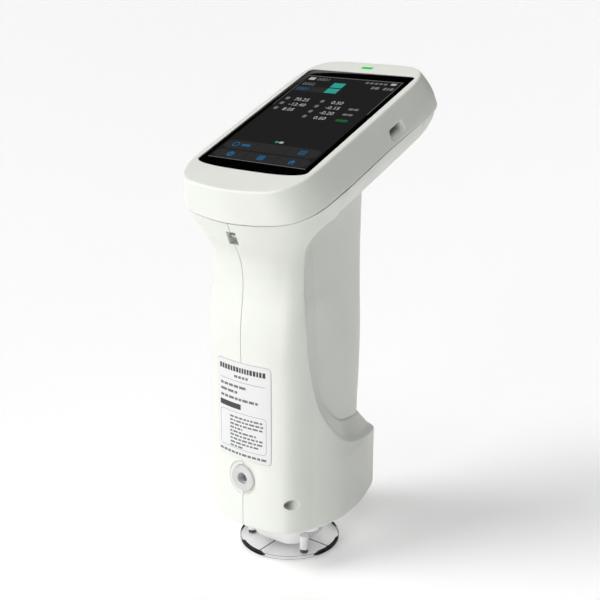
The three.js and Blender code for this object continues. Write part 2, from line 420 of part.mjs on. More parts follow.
node('lens_barrel', solid(turned([[4.9, 58.2], [6.6, 58.2], [6.6, 76], [4.9, 76], [4.9, 58.2]], 24), at(0, PORT_Y, 0)), mat.black);
node('objective_lens', solid(turned([[0, 63], [2.4, 63.3], [4.5, 64.2], [4.5, 65.6], [2.4, 66.5], [0, 66.8]], 20), at(0, PORT_Y, 0)), mat.clear);
let spect = cut(solid(box(-15, 15, -28, 4, 76.4, 116)), solid(box(-13, 13, -26, 9, 78.6, 114)), solid(rod(2, 70, 80, 14), at(0, PORT_Y, 0)));
node('spectrometer_body', spect, mat.black);
node('spectrometer_cover', solid(box(-15, 15, 4.3, 6, 76.4, 116)).add(solid(box(-12.6, 12.6, 2.9, 4.4, 79, 113.6))), mat.black);
node('concave_grating', solid(loft([roundRect(16, 12, 1, 1, 0, -12).map(([x, y]) => [x, y, 108.6]), roundRect(16, 12, 1, 1, 0, -12).map(([x, y]) => [x, y, 113.6])]))
  .subtract(solid(new THREE.SphereGeometry(26, 24, 16).translate(0, -12, 84.2))), mat.steel);
node('line_sensor_board', solid(box(-11.6, 11.6, -25.6, -24, 80, 104)).add(solid(box(-9, 9, -24.1, -22.4, 88, 94))), mat.board);
node('main_board', cut(solid(box(-14.5, 14.5, -37.2, -35.6, 62, 138)).add(solid(box(-8, 8, -35.7, -33.6, 96, 112))).add(solid(box(-6, 4, -35.7, -34.2, 72, 80))),
  solid(rod(1.4, -40, -30, 12), at(11.5, 0, 66).multiply(alongY))), mat.board);
node('battery', solid(prism(roundRect(28, 9.4, 4.4, 5, 0, 12.6), 'z', 60, 116)), mat.battery);
node('buzzer', solid(turned([[0, 0], [4.5, 0], [4.5, 3.4], [1, 3.4], [1, 2.6], [0, 2.6]], 20), at(0, -26, 128).multiply(alongY)), mat.black);

// trigger, its spring and its switch
const BZ = (BTN_Z0 + BTN_Z1) / 2, BH = BTN_Z1 - BTN_Z0 - 0.7, BW = BTN_W - 0.7;
let button = solid(prism(roundRect(BW, BH, 5.1, 5, 0, BZ), 'y', 19.6, 25.2));
const padRing = (w, h, r, y) => roundRect(w, h, r, 5, 0, BZ).map(([x, z]) => [x, y, z]).reverse();
button = button.add(solid(loft([padRing(BW, BH, 5.1, 25.1), padRing(BW - 0.8, BH - 0.8, 4.7, 26.4), padRing(BW - 3, BH - 3.2, 3.9, 27.3), padRing(BW - 7, BH - 9, 2.6, 27.7)])));
button = button.add(solid(prism(roundRect(BW + 3.0, BH + 3.0, 6.2, 4, 0, BZ), 'y', 18.2, 19.7)));
button = button.add(solid(rod(1.5, 12.7, 18.4, 12), at(0, 0, BZ).multiply(alongY)));
node('measure_button', button, mat.shell);
class Coil extends THREE.Curve {
  constructor(r, turns, y0, y1) { super(); Object.assign(this, { r, turns, y0, y1 }); }
  getPoint(t, target = new THREE.Vector3()) {
    const a = t * this.turns * 2 * Math.PI;
    return target.set(this.r * Math.cos(a), this.y0 + (this.y1 - this.y0) * t, BZ + this.r * Math.sin(a));
  }
}
const wire = new THREE.Shape(Array.from({ length: 5 }, (_, i) => new THREE.Vector2(0.28 * Math.cos(i * Math.PI / 2.5), 0.28 * Math.sin(i * Math.PI / 2.5))));
node('button_spring', solid(new THREE.ExtrudeGeometry(wire, { steps: 48, bevelEnabled: false, extrudePath: new Coil(3.1, 4, 10.4, 17.5) })), mat.steel);
node('switch_board', solid(box(-8, 8, 8.1, 9.7, BZ - 11, BZ + 9)).add(solid(box(-1.6, 1.6, 9.6, 10.3, BZ - 1.6, BZ + 1.6))), mat.board);

export default root;
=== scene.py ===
"""Looks of the handheld colour spectrophotometer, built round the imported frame.

Lengths in this script are millimetres in the drawing frame (y = 0 under the middle of the
screen, z = 0 under the locating plate); to_m() turns them into metres in the row frame.
"""
import math

import bmesh
import bpy
import numpy as np
from mathutils import Matrix, Vector


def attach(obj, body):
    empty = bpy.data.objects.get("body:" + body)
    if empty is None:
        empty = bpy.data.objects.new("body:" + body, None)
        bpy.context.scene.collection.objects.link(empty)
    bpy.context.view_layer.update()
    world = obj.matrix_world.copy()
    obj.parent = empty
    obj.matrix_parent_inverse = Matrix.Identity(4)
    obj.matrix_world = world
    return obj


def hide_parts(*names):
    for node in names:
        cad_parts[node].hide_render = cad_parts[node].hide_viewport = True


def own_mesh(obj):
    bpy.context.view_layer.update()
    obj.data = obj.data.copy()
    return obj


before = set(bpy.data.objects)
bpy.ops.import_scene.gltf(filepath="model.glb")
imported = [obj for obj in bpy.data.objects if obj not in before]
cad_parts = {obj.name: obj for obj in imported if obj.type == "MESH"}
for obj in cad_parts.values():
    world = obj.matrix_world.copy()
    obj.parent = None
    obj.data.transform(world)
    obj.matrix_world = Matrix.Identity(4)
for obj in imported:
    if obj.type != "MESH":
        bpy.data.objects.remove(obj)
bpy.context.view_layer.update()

# ------------------------------------------------------------------ dimensions (mm)
SHIFT = -2.78
TILT = math.radians(21.54)
CT, ST = math.cos(TILT), math.sin(TILT)
SCREEN_Z = 185.3
WALL = 2.4
GAP = 0.3
FOOT_Z = 18.2
PORT_Y = -11.55
PLATE_R, PLATE_T = 22.1, 1.7
UNDER_O = -23.0
CAP_Y = 36.2
GLASS_HALF = 27.37
LABEL_W, LABEL_Z0, LABEL_Z1 = 28.0, 49.1, 91.5
INSERT_Z, INSERT_R = 40.4, 6.1
HOLE_Y, HOLE_Z = -37.4, 32.1
SLOT_Z, SLOT_H, SLOT_W = 144.3, 5.4, 4.8
HEAD_SCREWS = [(-27.6, -20), (27.6, -20), (-20, 43.6), (20, 43.6)]
POSTS = [(-14.6, -8.4), (14.6, -8.4), (0, 16.85)]
BTN_Z0, BTN_Z1, BTN_W = 126.0, 153.0, 15.0
BZ = (BTN_Z0 + BTN_Z1) / 2

OUTER = np.array([[0, -43.6], [5, -43.35], [10, -42.7], [14.5, -41.6], [18, -40.0], [20.5, -38.1], [22.4, -35.6], [23.7, -33],
    [24.5, -30.8], [25.1, -29], [25.9, -26.8], [26.6, -24.6], [27.4, -21.5], [28.3, -17], [28.8, -12], [28.5, -6.5], [27.7, -0.5], [26.5, 5.5],
    [24.8, 11.5], [22.6, 17.8], [20.6, 22.8], [18.2, 26.6], [14.6, 29.1], [9.5, 30.4], [4.5, 30.9], [0, 31]], float)
GRIP = np.array([[0, -43.6], [5, -43.35], [10, -42.7], [14.5, -41.6], [18, -40.0], [19.8, -38.1], [20.4, -35.6], [20.8, -33],
    [21.1, -30.8], [21.3, -29], [21.6, -26.8], [21.9, -24.6], [22.4, -21.5], [22.9, -17], [23.1, -12], [22.9, -6.5], [22.2, -0.5], [20.9, 5.3],
    [19.3, 10.8], [17.3, 15.2], [15.3, 18.6], [13.0, 21.0], [10.0, 22.6], [6.6, 23.5], [3.2, 23.9], [0, 24]], float)
SEAM_PLAN = np.array([[0, -50.9], [6.4, -50.5], [12.8, -49.4], [18.6, -47.8], [23, -45.8], [26.3, -43.4], [29.2, -40.1], [31.6, -36.2],
    [33.0, -33], [33.8, -30.4], [34.3, -27.2], [34.6, -24.4], [34.8, -21], [34.9, -16.6], [34.9, -11.6]], float)
RIM = np.array([[0, -57.6], [6, -57.2], [12, -56.2], [18, -54.5], [22, -52.6], [25.3, -50.3], [28.2, -46.9], [30.6, -42.4], [32.3, -37],
    [33.2, -30], [33.5, -20], [33.5, -6], [33.4, 8], [33.2, 21], [32.8, 31], [31.6, 38.6], [29.4, 43.6], [26.0, 47.4], [21.2, 49.9], [15.2, 51.3], [8, 51.9], [0, 52.1]], float)
# outer edge of the flat bezel, matched to RIM point by point
BEZEL = np.array([[0, -57.11], [5.8, -56.84], [11.5, -56.25], [17, -55.3], [20.9, -54.1], [23.8, -52.1], [26.5, -49], [28.4, -45.3], [29.6, -41.0],
    [30.1, -34], [30.2, -21], [30.3, -6], [30.35, 8], [30.4, 21], [30.3, 31], [29.8, 38], [28.3, 43.3], [25.8, 47.3], [21.6, 50.0], [15.8, 51.0], [8.2, 51.15], [0, 51.2]], float)
SEAM = np.array([[-90, -13.4], [-48, -13.2], [-30, -12.5], [0, -12.5], [16, -13.2], [30, -14.1], [44, -15.3], [90, -18.6]], float)
RECESS = np.array([[31, 44.4], [22, 45.6], [5, 48.6], [-6.5, 51.6], [-14, 56.1], [-20.1, 62.4], [-24.8, 70], [-27.8, 78.6], [-29.8, 88.6],
    [-31.3, 99], [-32.4, 109], [-32.8, 121], [-32.5, 131], [-32.3, 137], [-31.9, 141], [-30.6, 145], [-28, 148.2], [-24, 150.6], [-20.2, 152.2]], float)


# ------------------------------------------------------------------ numbers
def pchip(xs, ys, x):
    """smooth monotone interpolation, held level outside the table"""
    xs, ys = np.asarray(xs, float), np.asarray(ys, float)
    x = np.clip(np.asarray(x, float), xs[0], xs[-1])
    h, d = np.diff(xs), np.diff(ys) / np.diff(xs)
    m = np.zeros(len(xs))
    for i in range(1, len(xs) - 1):
        if d[i - 1] * d[i] > 0:
            w1, w2 = 2 * h[i] + h[i - 1], h[i] + 2 * h[i - 1]
            m[i] = (w1 + w2) / (w1 / d[i - 1] + w2 / d[i])
    m[0], m[-1] = d[0], d[-1]
    k = np.clip(np.searchsorted(xs, x, side="right") - 1, 0, len(xs) - 2)
    t = (x - xs[k]) / h[k]
    return ((1 + 2 * t) * (1 - t) ** 2 * ys[k] + t * (1 - t) ** 2 * h[k] * m[k]
            + t * t * (3 - 2 * t) * ys[k + 1] + t * t * (t - 1) * h[k] * m[k + 1])


def step(a, b, v):
    t = np.clip((np.asarray(v, float) - a) / (b - a), 0, 1)
    return t * t * (3 - 2 * t)


def dense(points, n, closed=False, mirrored=False):
    """Catmull-Rom through points, n samples a span; mirrored keeps the ends square to x = 0"""
    p = np.asarray(points, float)
    if closed:
        q = np.vstack([p[-1:], p, p[:2]])
    elif mirrored:
        flip = p * np.array([-1] + [1] * (p.shape[1] - 1))
        q = np.vstack([flip[1:2], p, flip[-2:-1]])
    else:
        q = np.vstack([2 * p[:1] - p[1:2], p, 2 * p[-1:] - p[-2:-1]])
    out = []
    t = np.arange(n)[:, None] / n
    for i in range(1, len(q) - 2):
        a, b, c, d = q[i - 1], q[i], q[i + 1], q[i + 2]
        out.append(0.5 * (2 * b + (c - a) * t + (2 * a - 5 * b + 4 * c - d) * t ** 2 + (3 * b - a - 3 * c + d) * t ** 3))
    out = np.vstack(out)
    return out if closed else np.vstack([out, q[-2:-1]])


def mirror(half):
    left = half[1:-1][::-1].copy()
    left[:, 0] *= -1
    return np.vstack([half, left])


def ring_normals(ring):
    d = np.roll(ring, -1, 0) - np.roll(ring, 1, 0)
    d /= np.maximum(np.linalg.norm(d, axis=1), 1e-9)[:, None]
    return np.stack([d[:, 1], -d[:, 0]], 1)


def grow(ring, by):
    return ring + ring_normals(ring) * by


def seam_o(yp):
    return pchip(SEAM[:, 0], SEAM[:, 1], yp)


def seam_z(y):
    yp = np.asarray(y, float)
    for _ in range(8):
        yp = (y + seam_o(yp) * ST) / CT
    return SCREEN_Z + yp * ST + seam_o(yp) * CT


def head_xyz(p):
    """head frame (x, y', o) to drawing frame"""
    p = np.asarray(p, float)
    return np.stack([p[:, 0], p[:, 1] * CT - p[:, 2] * ST, SCREEN_Z + p[:, 1] * ST + p[:, 2] * CT], 1)


def to_m(v):
    v = np.array(v, float)
    v[:, 1] += SHIFT
    return v * 1e-3


# ------------------------------------------------------------------ shape of the lower housing
def recess_distance(y, z):
    """signed distance inside the hand recess in the side view"""
    line = dense(RECESS, 6)
    poly = np.vstack([[60, 43.2], line, [[-20, 400], [60, 400]]])
    a, b = poly, np.roll(poly, -1, 0)
    keep = ~((a[:, 0] >= 59) & (b[:, 0] >= 59))
    best = np.full(y.shape, 1e9)
    inside = np.zeros(y.shape, bool)
    for (ay, az), (by, bz), k in zip(a, b, keep):
        if az != bz:
            inside ^= ((az > z) != (bz > z)) & (y < (by - ay) * (z - az) / (bz - az) + ay)
        if k:
            uy, uz = by - ay, bz - az
            t = np.clip(((y - ay) * uy + (z - az) * uz) / max(uy * uy + uz * uz, 1e-12), 0, 1)
            best = np.minimum(best, np.hypot(y - ay - t * uy, z - az - t * uz))
    return np.where(inside, best, -best)


def recess_share(y, z):
    d = recess_distance(y, z)
    wide = pchip([40, 45, 56, 66, 76, 88, 100, 112, 124, 136, 147], [9.4, 9.4, 8.6, 7.4, 6.0, 5.9, 7.0, 7.7, 8.0, 7.0, 3.0], z)
    t = np.clip(d / wide, 0, 1)
    # higher up the wall is a sheer drop first and then runs nearly level to the floor
    up = step(62, 84, z)
    t1, s1 = 0.22 - 0.12 * up, 0.36 + 0.38 * up
    u = np.clip((t - t1) / (1 - t1), 0, 1)
    s = np.where(t < t1, s1 * t / t1, s1 + (1 - s1) * (1 - (1 - u) ** 1.06))
    s = s + 0.05 * up * np.exp(-((d - wide - 0.45) / 0.5) ** 2)
    # the grip's lower edge is rolled in where it meets the slope
    roll = 1 - step(60, 84, z)
    q = np.clip((d - wide) / 2.4, 0, 1)
    s += np.where(d > wide, 0.115 * roll * (1 - np.sqrt(np.clip(1 - (1 - q) ** 2, 0, 1))), 0.115 * roll * step(0.93, 1.0, t))
    return np.where(d > 0, s, 0)


N_SUB = 8
O_F, G_F = dense(OUTER, N_SUB, mirrored=True), dense(GRIP, N_SUB, mirrored=True)
S_F = dense(np.vstack([SEAM_PLAN, [[34.9, -6.6]]]), N_SUB)[: 14 * N_SUB + 1]
S_F = np.vstack([S_F, np.repeat(S_F[-1:], len(O_F) - len(S_F), 0)])
S_D = np.gradient(S_F[: 14 * N_SUB + 1], axis=0)
S_D /= np.linalg.norm(S_D, axis=1)[:, None]
S_SWELL = np.zeros_like(S_F)
S_SWELL[: 14 * N_SUB + 1] = 1.4 * ((2 * S_D[:, 0] * S_D[:, 1]) ** 2)[:, None] * np.stack([S_D[:, 1], -S_D[:, 0]], 1)
INDEX = np.arange(len(O_F)) / N_SUB
FLARED = 1 - step(13.0, 14.0, INDEX)
YC = -9.0                                       # centre of the polar plan
Z_LO, Z_STEP = 14.0, 0.5
Z_ROWS = np.arange(Z_LO, 200.01, Z_STEP)
PHI_N = 900


def smooth_rows(a, sigma, axis, wrap):
    n = max(1, int(3 * sigma + 0.5))
    w = np.exp(-0.5 * (np.arange(-n, n + 1) / sigma) ** 2)
    w /= w.sum()
    out = np.zeros_like(a)
    for k, v in zip(range(-n, n + 1), w):
        if wrap:
            out += v * np.roll(a, k, axis)
        else:
            out += v * np.take(a, np.clip(np.arange(a.shape[axis]) + k, 0, a.shape[axis] - 1), axis)
    return out


def body_table():
    z = Z_ROWS[:, None]
    ox, oy = O_F[None, :, 0], O_F[None, :, 1]
    w = pchip([88, 98, 104, 109, 114.6, 119.6, 125, 300], [0, -0.12, -0.08, 0.12, 0.48, 0.86, 1, 1], z)
    q = np.clip((-28 - oy) / 12, 0, 1)
    x = ox - 1.1 * w * np.minimum(1, ox / 18) * q - np.where(oy < -20, 0.4 * w * np.minimum(1, ox / 20), 0)
    y = oy + 1.8 * w * q
    u = seam_z(S_F[:, 1])[None, :] - z
    b = pchip([-14, -6, 0, 4, 9.2, 12.8, 15.5, 18.4, 24], [1.28, 1.2, 1, 0.81, 0.56, 0.33, 0.19, 0.09, 0], u) * FLARED[None, :]
    x = x + (S_F[None, :, 0] - x) * b
    y = y + (S_F[None, :, 1] - y) * b
    swell = pchip([-14, 0, 3, 5.5, 8.5, 12], [1, 1, 0.86, 0.5, 0.14, 0], u) * FLARED[None, :]
    x = x + S_SWELL[None, :, 0] * swell
    y = y + S_SWELL[None, :, 1] * swell
    s = recess_share(np.broadcast_to(oy, x.shape), np.broadcast_to(z, x.shape))
    x = x + (G_F[None, :, 0] - x) * s
    y = y + (G_F[None, :, 1] - y) * s
    # foot and grip are a little fuller at the sides than the plan outlines
    front = pchip([18, 95, 104, 112, 117, 122, 133, 139], [0.65, 0.7, 0.95, 1.1, 1.1, 0.6, 0.2, 0], z)
    back = pchip([18, 45, 49, 56, 62, 70, 80, 93, 103, 112, 130, 145, 152], [0.5, 0.5, -0.1, -0.7, -0.55, -0.2, 0.1, 0.25, 0.05, -0.3, -0.55, -0.35, -0.2], z)
    share = step(-22, -4, oy)
    x = x + step(14.2, 19, ox) * (front * (1 - share) + back * share)
    phi = np.linspace(-np.pi / 2, 3 * np.pi / 2, PHI_N, endpoint=False)
    half = phi[: PHI_N // 2 + 1]
    table = np.zeros((len(Z_ROWS), PHI_N))
    for i in range(len(Z_ROWS)):
        a = np.arctan2(y[i] - YC, x[i])
        a[0], a[-1] = -np.pi / 2, np.pi / 2
        r = np.hypot(x[i], y[i] - YC)
        a = np.maximum.accumulate(a)
        h = np.interp(half, a, r)
        table[i, : PHI_N // 2 + 1] = h
        table[i, PHI_N // 2 + 1:] = h[1:-1][::-1]
    table = smooth_rows(table, 0.35, 0, False)
    table = smooth_rows(table, 0.55, 1, True)
    dphi = 2 * np.pi / PHI_N
    rp = (np.roll(table, -1, 1) - np.roll(table, 1, 1)) / (2 * dphi)
    rz = np.gradient(table, Z_STEP, axis=0)
    return table, 1 / np.sqrt(1 + (rp / table) ** 2 + rz ** 2)


def sample(tab, u, v):
    """bilinear lookup, rows held at the ends, columns wrapped"""
    u = np.clip(u, 0, tab.shape[0] - 1.001)
    i = u.astype(np.int32)
    fu = u - i
    v = np.mod(v, tab.shape[1])
    j = v.astype(np.int32) % tab.shape[1]
    fv = v - np.floor(v)
    j1 = (j + 1) % tab.shape[1]
    return (tab[i, j] * (1 - fu) * (1 - fv) + tab[i, j1] * (1 - fu) * fv
            + tab[i + 1, j] * fu * (1 - fv) + tab[i + 1, j1] * fu * fv)


BODY_R, BODY_C = body_table()
RIM_F = mirror(dense(RIM, 10, mirrored=True))
RIM_N = ring_normals(RIM_F)
O_LO, O_STEP = -27.0, 0.25
O_ROWS = np.arange(O_LO, -5.0, O_STEP)


def rim_ring(side, front, far, near_corner=0.0, far_corner=0.0, far_power=2.0):
    end = np.where(RIM_N[:, 1] < 0, front, far)
    by = side * RIM_N[:, 0] ** 2 + end * RIM_N[:, 1] ** 2
    slant = np.abs(2 * RIM_N[:, 0] * RIM_N[:, 1])
    by = by + np.where(RIM_N[:, 1] < 0, near_corner * slant ** 2, far_corner * slant ** far_power)
    return RIM_F + RIM_N * by[:, None]


def head_table():
    o = [-26, -23, -22.1, -18.5, -15.4, -13, -9, -5]
    side = pchip(o, [-5.4, -3.0, -2.4, -0.4, 0.95, 1.68, 2.2, 2.2], O_ROWS)
    front = pchip(o, [-8.5, -5.6, -4.8, -2.0, 0.3, 1.5, 2.5, 2.5], O_ROWS)
    far = pchip(o, [-6.5, -4.4, -3.6, 0.9, 3.4, 4.4, 5.2, 5.2], O_ROWS)
    near_corner = pchip(o, [0, 0, 0, 0.3, 0.9, 1.4, 1.4, 1.4], O_ROWS)
    far_corner = pchip(o, [1.0, 1.4, 1.5, 1.5, 1.5, 1.5, 1.3, 1.3], O_ROWS)
    lean = pchip([-26, -20, -15], [0.65, 0.65, 0], O_ROWS)
    phi = np.linspace(-np.pi / 2, 3 * np.pi / 2, PHI_N, endpoint=False)
    table = np.zeros((len(O_ROWS), PHI_N))
    for i in range(len(O_ROWS)):
        ring = rim_ring(side[i], front[i], far[i], near_corner[i], far_corner[i], 1.2)
        ring[:, 0] += np.sign(ring[:, 0]) * np.minimum(1, np.abs(ring[:, 0]) / 25) * lean[i] * ring[:, 1] / 40
        a = np.arctan2(ring[:, 1], ring[:, 0])
        a = np.where(a < -np.pi / 2 - 1e-9, a + 2 * np.pi, a)
        order = np.argsort(a)
        table[i] = np.interp(phi, a[order], np.hypot(ring[:, 0], ring[:, 1])[order], period=2 * np.pi)
    dphi = 2 * np.pi / PHI_N
    rp = (np.roll(table, -1, 1) - np.roll(table, 1, 1)) / (2 * dphi)
    ro = np.gradient(table, O_STEP, axis=0)
    return table, 1 / np.sqrt(1 + (rp / table) ** 2 + ro ** 2)


HEAD_R, HEAD_C = head_table()


def smin(a, b, k):
    h = np.clip(0.5 + 0.5 * (b - a) / k, 0, 1)
    return b * (1 - h) + a * h - k * h * (1 - h)


def field(p, inset=0.0):
    """below zero inside the lower housing; p is (n, 3) mm"""
    x, y, z = p[:, 0], p[:, 1], p[:, 2]
    turn = PHI_N / (2 * np.pi)
    v = (np.arctan2(y - YC, x) + np.pi / 2) * turn
    u = (z - Z_LO) / Z_STEP
    f = (np.hypot(x, y - YC) - sample(BODY_R, u, v)) * sample(BODY_C, u, v)
    f = -smin(-f, -(FOOT_Z - z), 1.5)
    near = z > 138
    if near.any():
        xn, yn, zn = x[near], y[near], z[near] - SCREEN_Z
        yp, o = yn * CT + zn * ST, -yn * ST + zn * CT
        u = (o - O_LO) / O_STEP
        v = (np.arctan2(yp, xn) + np.pi / 2) * turn
        g = (np.hypot(xn, yp) - sample(HEAD_R, u, v)) * sample(HEAD_C, u, v)
        g = -smin(-g, -(UNDER_O - o), 1.3)
        k = 0.7 + 3.6 * step(-24, -8, yn)
        f[near] = smin(f[near], g, k)
    return f + inset


def surface_net(fn, lo, hi, h):
    """closed quad mesh of fn = 0, with its points moved onto the surface"""
    ax = [np.arange(a, b + h / 2, h) for a, b in zip(lo, hi)]
    nx, ny, nz = (len(a) for a in ax)
    grid = np.empty((nx, ny, nz), np.float32)
    X, Y = np.meshgrid(ax[0], ax[1], indexing="ij")
    for k, zz in enumerate(ax[2]):
        grid[:, :, k] = fn(np.stack([X.ravel(), Y.ravel(), np.full(X.size, zz)], 1)).reshape(nx, ny)
    for side in (grid[0], grid[-1], grid[:, 0], grid[:, -1], grid[:, :, 0], grid[:, :, -1]):
        np.maximum(side, h * 0.5, out=side)
    inside = grid < 0
    corners = [(i, j, k) for i in (0, 1) for j in (0, 1) for k in (0, 1)]
    part = {c: inside[c[0]:nx - 1 + c[0], c[1]:ny - 1 + c[1], c[2]:nz - 1 + c[2]] for c in corners}
    total = sum(part[c].astype(np.int8) for c in corners)
    active = (total > 0) & (total < 8)
    cells = np.argwhere(active)
    number = np.full(active.shape, -1, np.int64)
    number[active] = np.arange(len(cells))
    base = np.stack([ax[d][cells[:, d]] for d in range(3)], 1)
    pos, count = np.zeros((len(cells), 3)), np.zeros(len(cells))
    val = {c: grid[cells[:, 0] + c[0], cells[:, 1] + c[1], cells[:, 2] + c[2]].astype(float) for c in corners}
    for c in corners:
        for d in range(3):
            if c[d] == 0:
                e = tuple(1 if q == d else c[q] for q in range(3))
                fa, fb = val[c], val[e]
                cross = (fa < 0) != (fb < 0)
                t = np.where(cross, fa / np.where(cross, fa - fb, 1), 0)
                at = np.array(c, float)[None] + t[:, None] * (np.array(e) - np.array(c))[None]
                pos += np.where(cross[:, None], at, 0)
                count += cross
    v = base + pos / count[:, None] * h
    quads = []
    for d in range(3):
        a, b = [q for q in range(3) if q != d]
        if d == 1:
            a, b = b, a
        sl0, sl1 = [slice(None)] * 3, [slice(None)] * 3
        sl0[d], sl1[d] = slice(0, -1), slice(1, None)
        s0, s1 = inside[tuple(sl0)], inside[tuple(sl1)]
        e = np.argwhere(s0 != s1)
        e = e[(e[:, a] > 0) & (e[:, b] > 0) & (e[:, a] < inside.shape[a] - 1) & (e[:, b] < inside.shape[b] - 1)]
        out = s0[tuple(e.T)]

        def cell(da, db):
            c = e.copy()
            c[:, a] -= da
            c[:, b] -= db
            return number[tuple(c.T)]

        q = np.stack([cell(1, 1), cell(0, 1), cell(0, 0), cell(1, 0)], 1)
        q[~out] = q[~out][:, ::-1]
        quads.append(q)
    quads = np.vstack(quads)
    inner = (v > np.array(lo) + 1.5 * h).all(1) & (v < np.array(hi) - 1.5 * h).all(1)
    for _ in range(3):
        p = v[inner]
        f0 = fn(p)
        g = np.stack([(fn(p + d) - fn(p - d)) / 0.1 for d in np.eye(3) * 0.05], 1)
        move = -f0[:, None] * g / np.maximum((g * g).sum(1), 0.05)[:, None]
        length = np.linalg.norm(move, axis=1, keepdims=True)
        v[inner] = p + move * np.minimum(1, 0.5 * h / np.maximum(length, 1e-9))
    return v, quads


# ------------------------------------------------------------------ mesh makers (vertices, faces)
def loft(rings):
    n = len(rings[0])
    v = np.vstack(rings)
    f = []
    for k in range(len(rings) - 1):
        i = np.arange(n)
        a, b = k * n + i, k * n + (i + 1) % n
        f.append(np.stack([a, b, b + n, a + n], 1))
    faces = np.vstack(f).tolist()
    top = (len(rings) - 1) * n
    faces.append(list(range(n - 1, -1, -1)))
    faces.append(list(range(top, top + n)))
    return v, faces


def place(outline, axis, t):
    o = np.asarray(outline, float)
    t = np.full(len(o), float(t))
    if axis == "x":
        return np.stack([t, o[:, 0], o[:, 1]], 1)
    if axis == "y":
        return np.stack([o[:, 0], t, o[:, 1]], 1)
    return np.stack([o[:, 0], o[:, 1], t], 1)


def prism(outline, axis, t0, t1):
    o = np.asarray(outline, float)
    area = np.sum(o[:, 0] * np.roll(o[:, 1], -1) - np.roll(o[:, 0], -1) * o[:, 1])
    if (area < 0) != (axis == "y"):
        o = o[::-1]
    return loft([place(o, axis, t0), place(o, axis, t1)])


def round_rect(w, h, r, seg=8, cx=0.0, cy=0.0):
    o = []
    for sx, sy, a0 in ((1, 1, 0), (-1, 1, 90), (-1, -1, 180), (1, -1, 270)):
        for i in range(seg + 1):
            a = math.radians(a0 + 90 * i / seg)
            o.append((cx + sx * (w / 2 - r) + r * math.cos(a), cy + sy * (h / 2 - r) + r * math.sin(a)))
    return np.array(o)


def block(x0, x1, y0, y1, z0, z1):
    return prism([(x0, y0), (x1, y0), (x1, y1), (x0, y1)], "z", z0, z1)


def turned(profile, seg=64):
    """profile of (radius, height), going up the outside; ends on the axis or closes"""
    p = [tuple(q) for q in profile]
    closed = p[0] == p[-1]
    if closed:
        p = p[:-1]
    v, rows = [], []
    for r, z in p:
        if r < 1e-9:
            rows.append([len(v)])
            v.append((0, 0, z))
        else:
            rows.append(list(range(len(v), len(v) + seg)))
            v += [(r * math.cos(2 * math.pi * i / seg), r * math.sin(2 * math.pi * i / seg), z) for i in range(seg)]
    f = []
    pairs = list(zip(rows, rows[1:])) + ([(rows[-1], rows[0])] if closed else [])
    for a, b in pairs:
        for i in range(seg):
            j = (i + 1) % seg
            if len(a) == 1 and len(b) == 1:
                continue
            if len(a) == 1:
                f.append([a[0], b[j], b[i]])
            elif len(b) == 1:
                f.append([a[i], a[j], b[0]])
            else:
                f.append([a[i], a[j], b[j], b[i]])
    return np.array(v, float), f


def rod(r, z0, z1, seg=48, bevel=0.0):
    if bevel:
        return turned([(0, z0), (r - bevel, z0), (r, z0 + bevel), (r, z1 - bevel), (r - bevel, z1), (0, z1)], seg)
    return turned([(0, z0), (r, z0), (r, z1), (0, z1)], seg)


def moved(shape, d):
    return shape[0] + np.array(d, float), shape[1]


def along_x(shape, d=(0, 0, 0)):
    v = shape[0]
    return np.stack([v[:, 2], v[:, 1], -v[:, 0]], 1) + np.array(d, float), shape[1]


def along_y(shape, d=(0, 0, 0)):
    v = shape[0]
    return np.stack([v[:, 0], v[:, 2], -v[:, 1]], 1) + np.array(d, float), shape[1]


def in_head(shape, d=(0, 0, 0)):
    return head_xyz(shape[0] + np.array(d, float)), shape[1]


def both(*shapes):
    v, f, n = [], [], 0
    for sv, sf in shapes:
        v.append(sv)
        f += [[i + n for i in q] for q in sf]
        n += len(sv)
    return np.vstack(v), f


def mesh_of(name, shape):
    me = bpy.data.meshes.new(name)
    v, f = shape
    me.from_pydata(to_m(v).tolist(), [], f.tolist() if isinstance(f, np.ndarray) else f)
    me.update()
    return me


def outward(me):
    bm = bmesh.new()
    bm.from_mesh(me)
    bmesh.ops.recalc_face_normals(bm, faces=bm.faces)
    if bm.calc_volume(signed=True) < 0:
        bmesh.ops.reverse_faces(bm, faces=bm.faces)
    bm.to_mesh(me)
    bm.free()
    return me


def object_of(name, shape):
    me = shape if isinstance(shape, bpy.types.Mesh) else outward(mesh_of(name, shape))
    o = bpy.data.objects.new(name, me)
    bpy.context.scene.collection.objects.link(o)
    return o


def carve(name, shape, steps):
    """joins (+), cuts (-) and crosses (&) solids in turn and returns one mesh"""
    base = object_of(name, shape)
    tools = []
    kinds = {"+": "UNION", "-": "DIFFERENCE", "&": "INTERSECT"}
    for i, (op, tool) in enumerate(steps):
        t = object_of(f"{name}_tool{i}", tool if not isinstance(tool, bpy.types.Mesh) else tool.copy())
        tools.append(t)
        m = base.modifiers.new(f"b{i}", "BOOLEAN")
        m.operation, m.solver, m.object = kinds[op], "MANIFOLD", t
    bpy.context.view_layer.update()
    got = base.evaluated_get(bpy.context.evaluated_depsgraph_get())
    me = bpy.data.meshes.new_from_object(got)
    old = base.data
    bpy.data.objects.remove(base)
    for t in tools:
        tm = t.data
        bpy.data.objects.remove(t)
        bpy.data.meshes.remove(tm)
    if old.users == 0:
        bpy.data.meshes.remove(old)
    me.name = name
    if len(me.polygons) == 0:
        raise RuntimeError(f"{name} came out empty")
    return me


def tidy(me, angle=32.0, merge=2e-6):
    """drops slivers, then smooth shading that breaks at real edges"""
    bm = bmesh.new()
    bm.from_mesh(me)
    bmesh.ops.remove_doubles(bm, verts=bm.verts, dist=merge)
    bmesh.ops.dissolve_degenerate(bm, dist=merge, edges=bm.edges)
    bm.to_mesh(me)
    bm.free()
    me.shade_smooth()
    me.set_sharp_from_angle(angle=math.radians(angle))
    return me


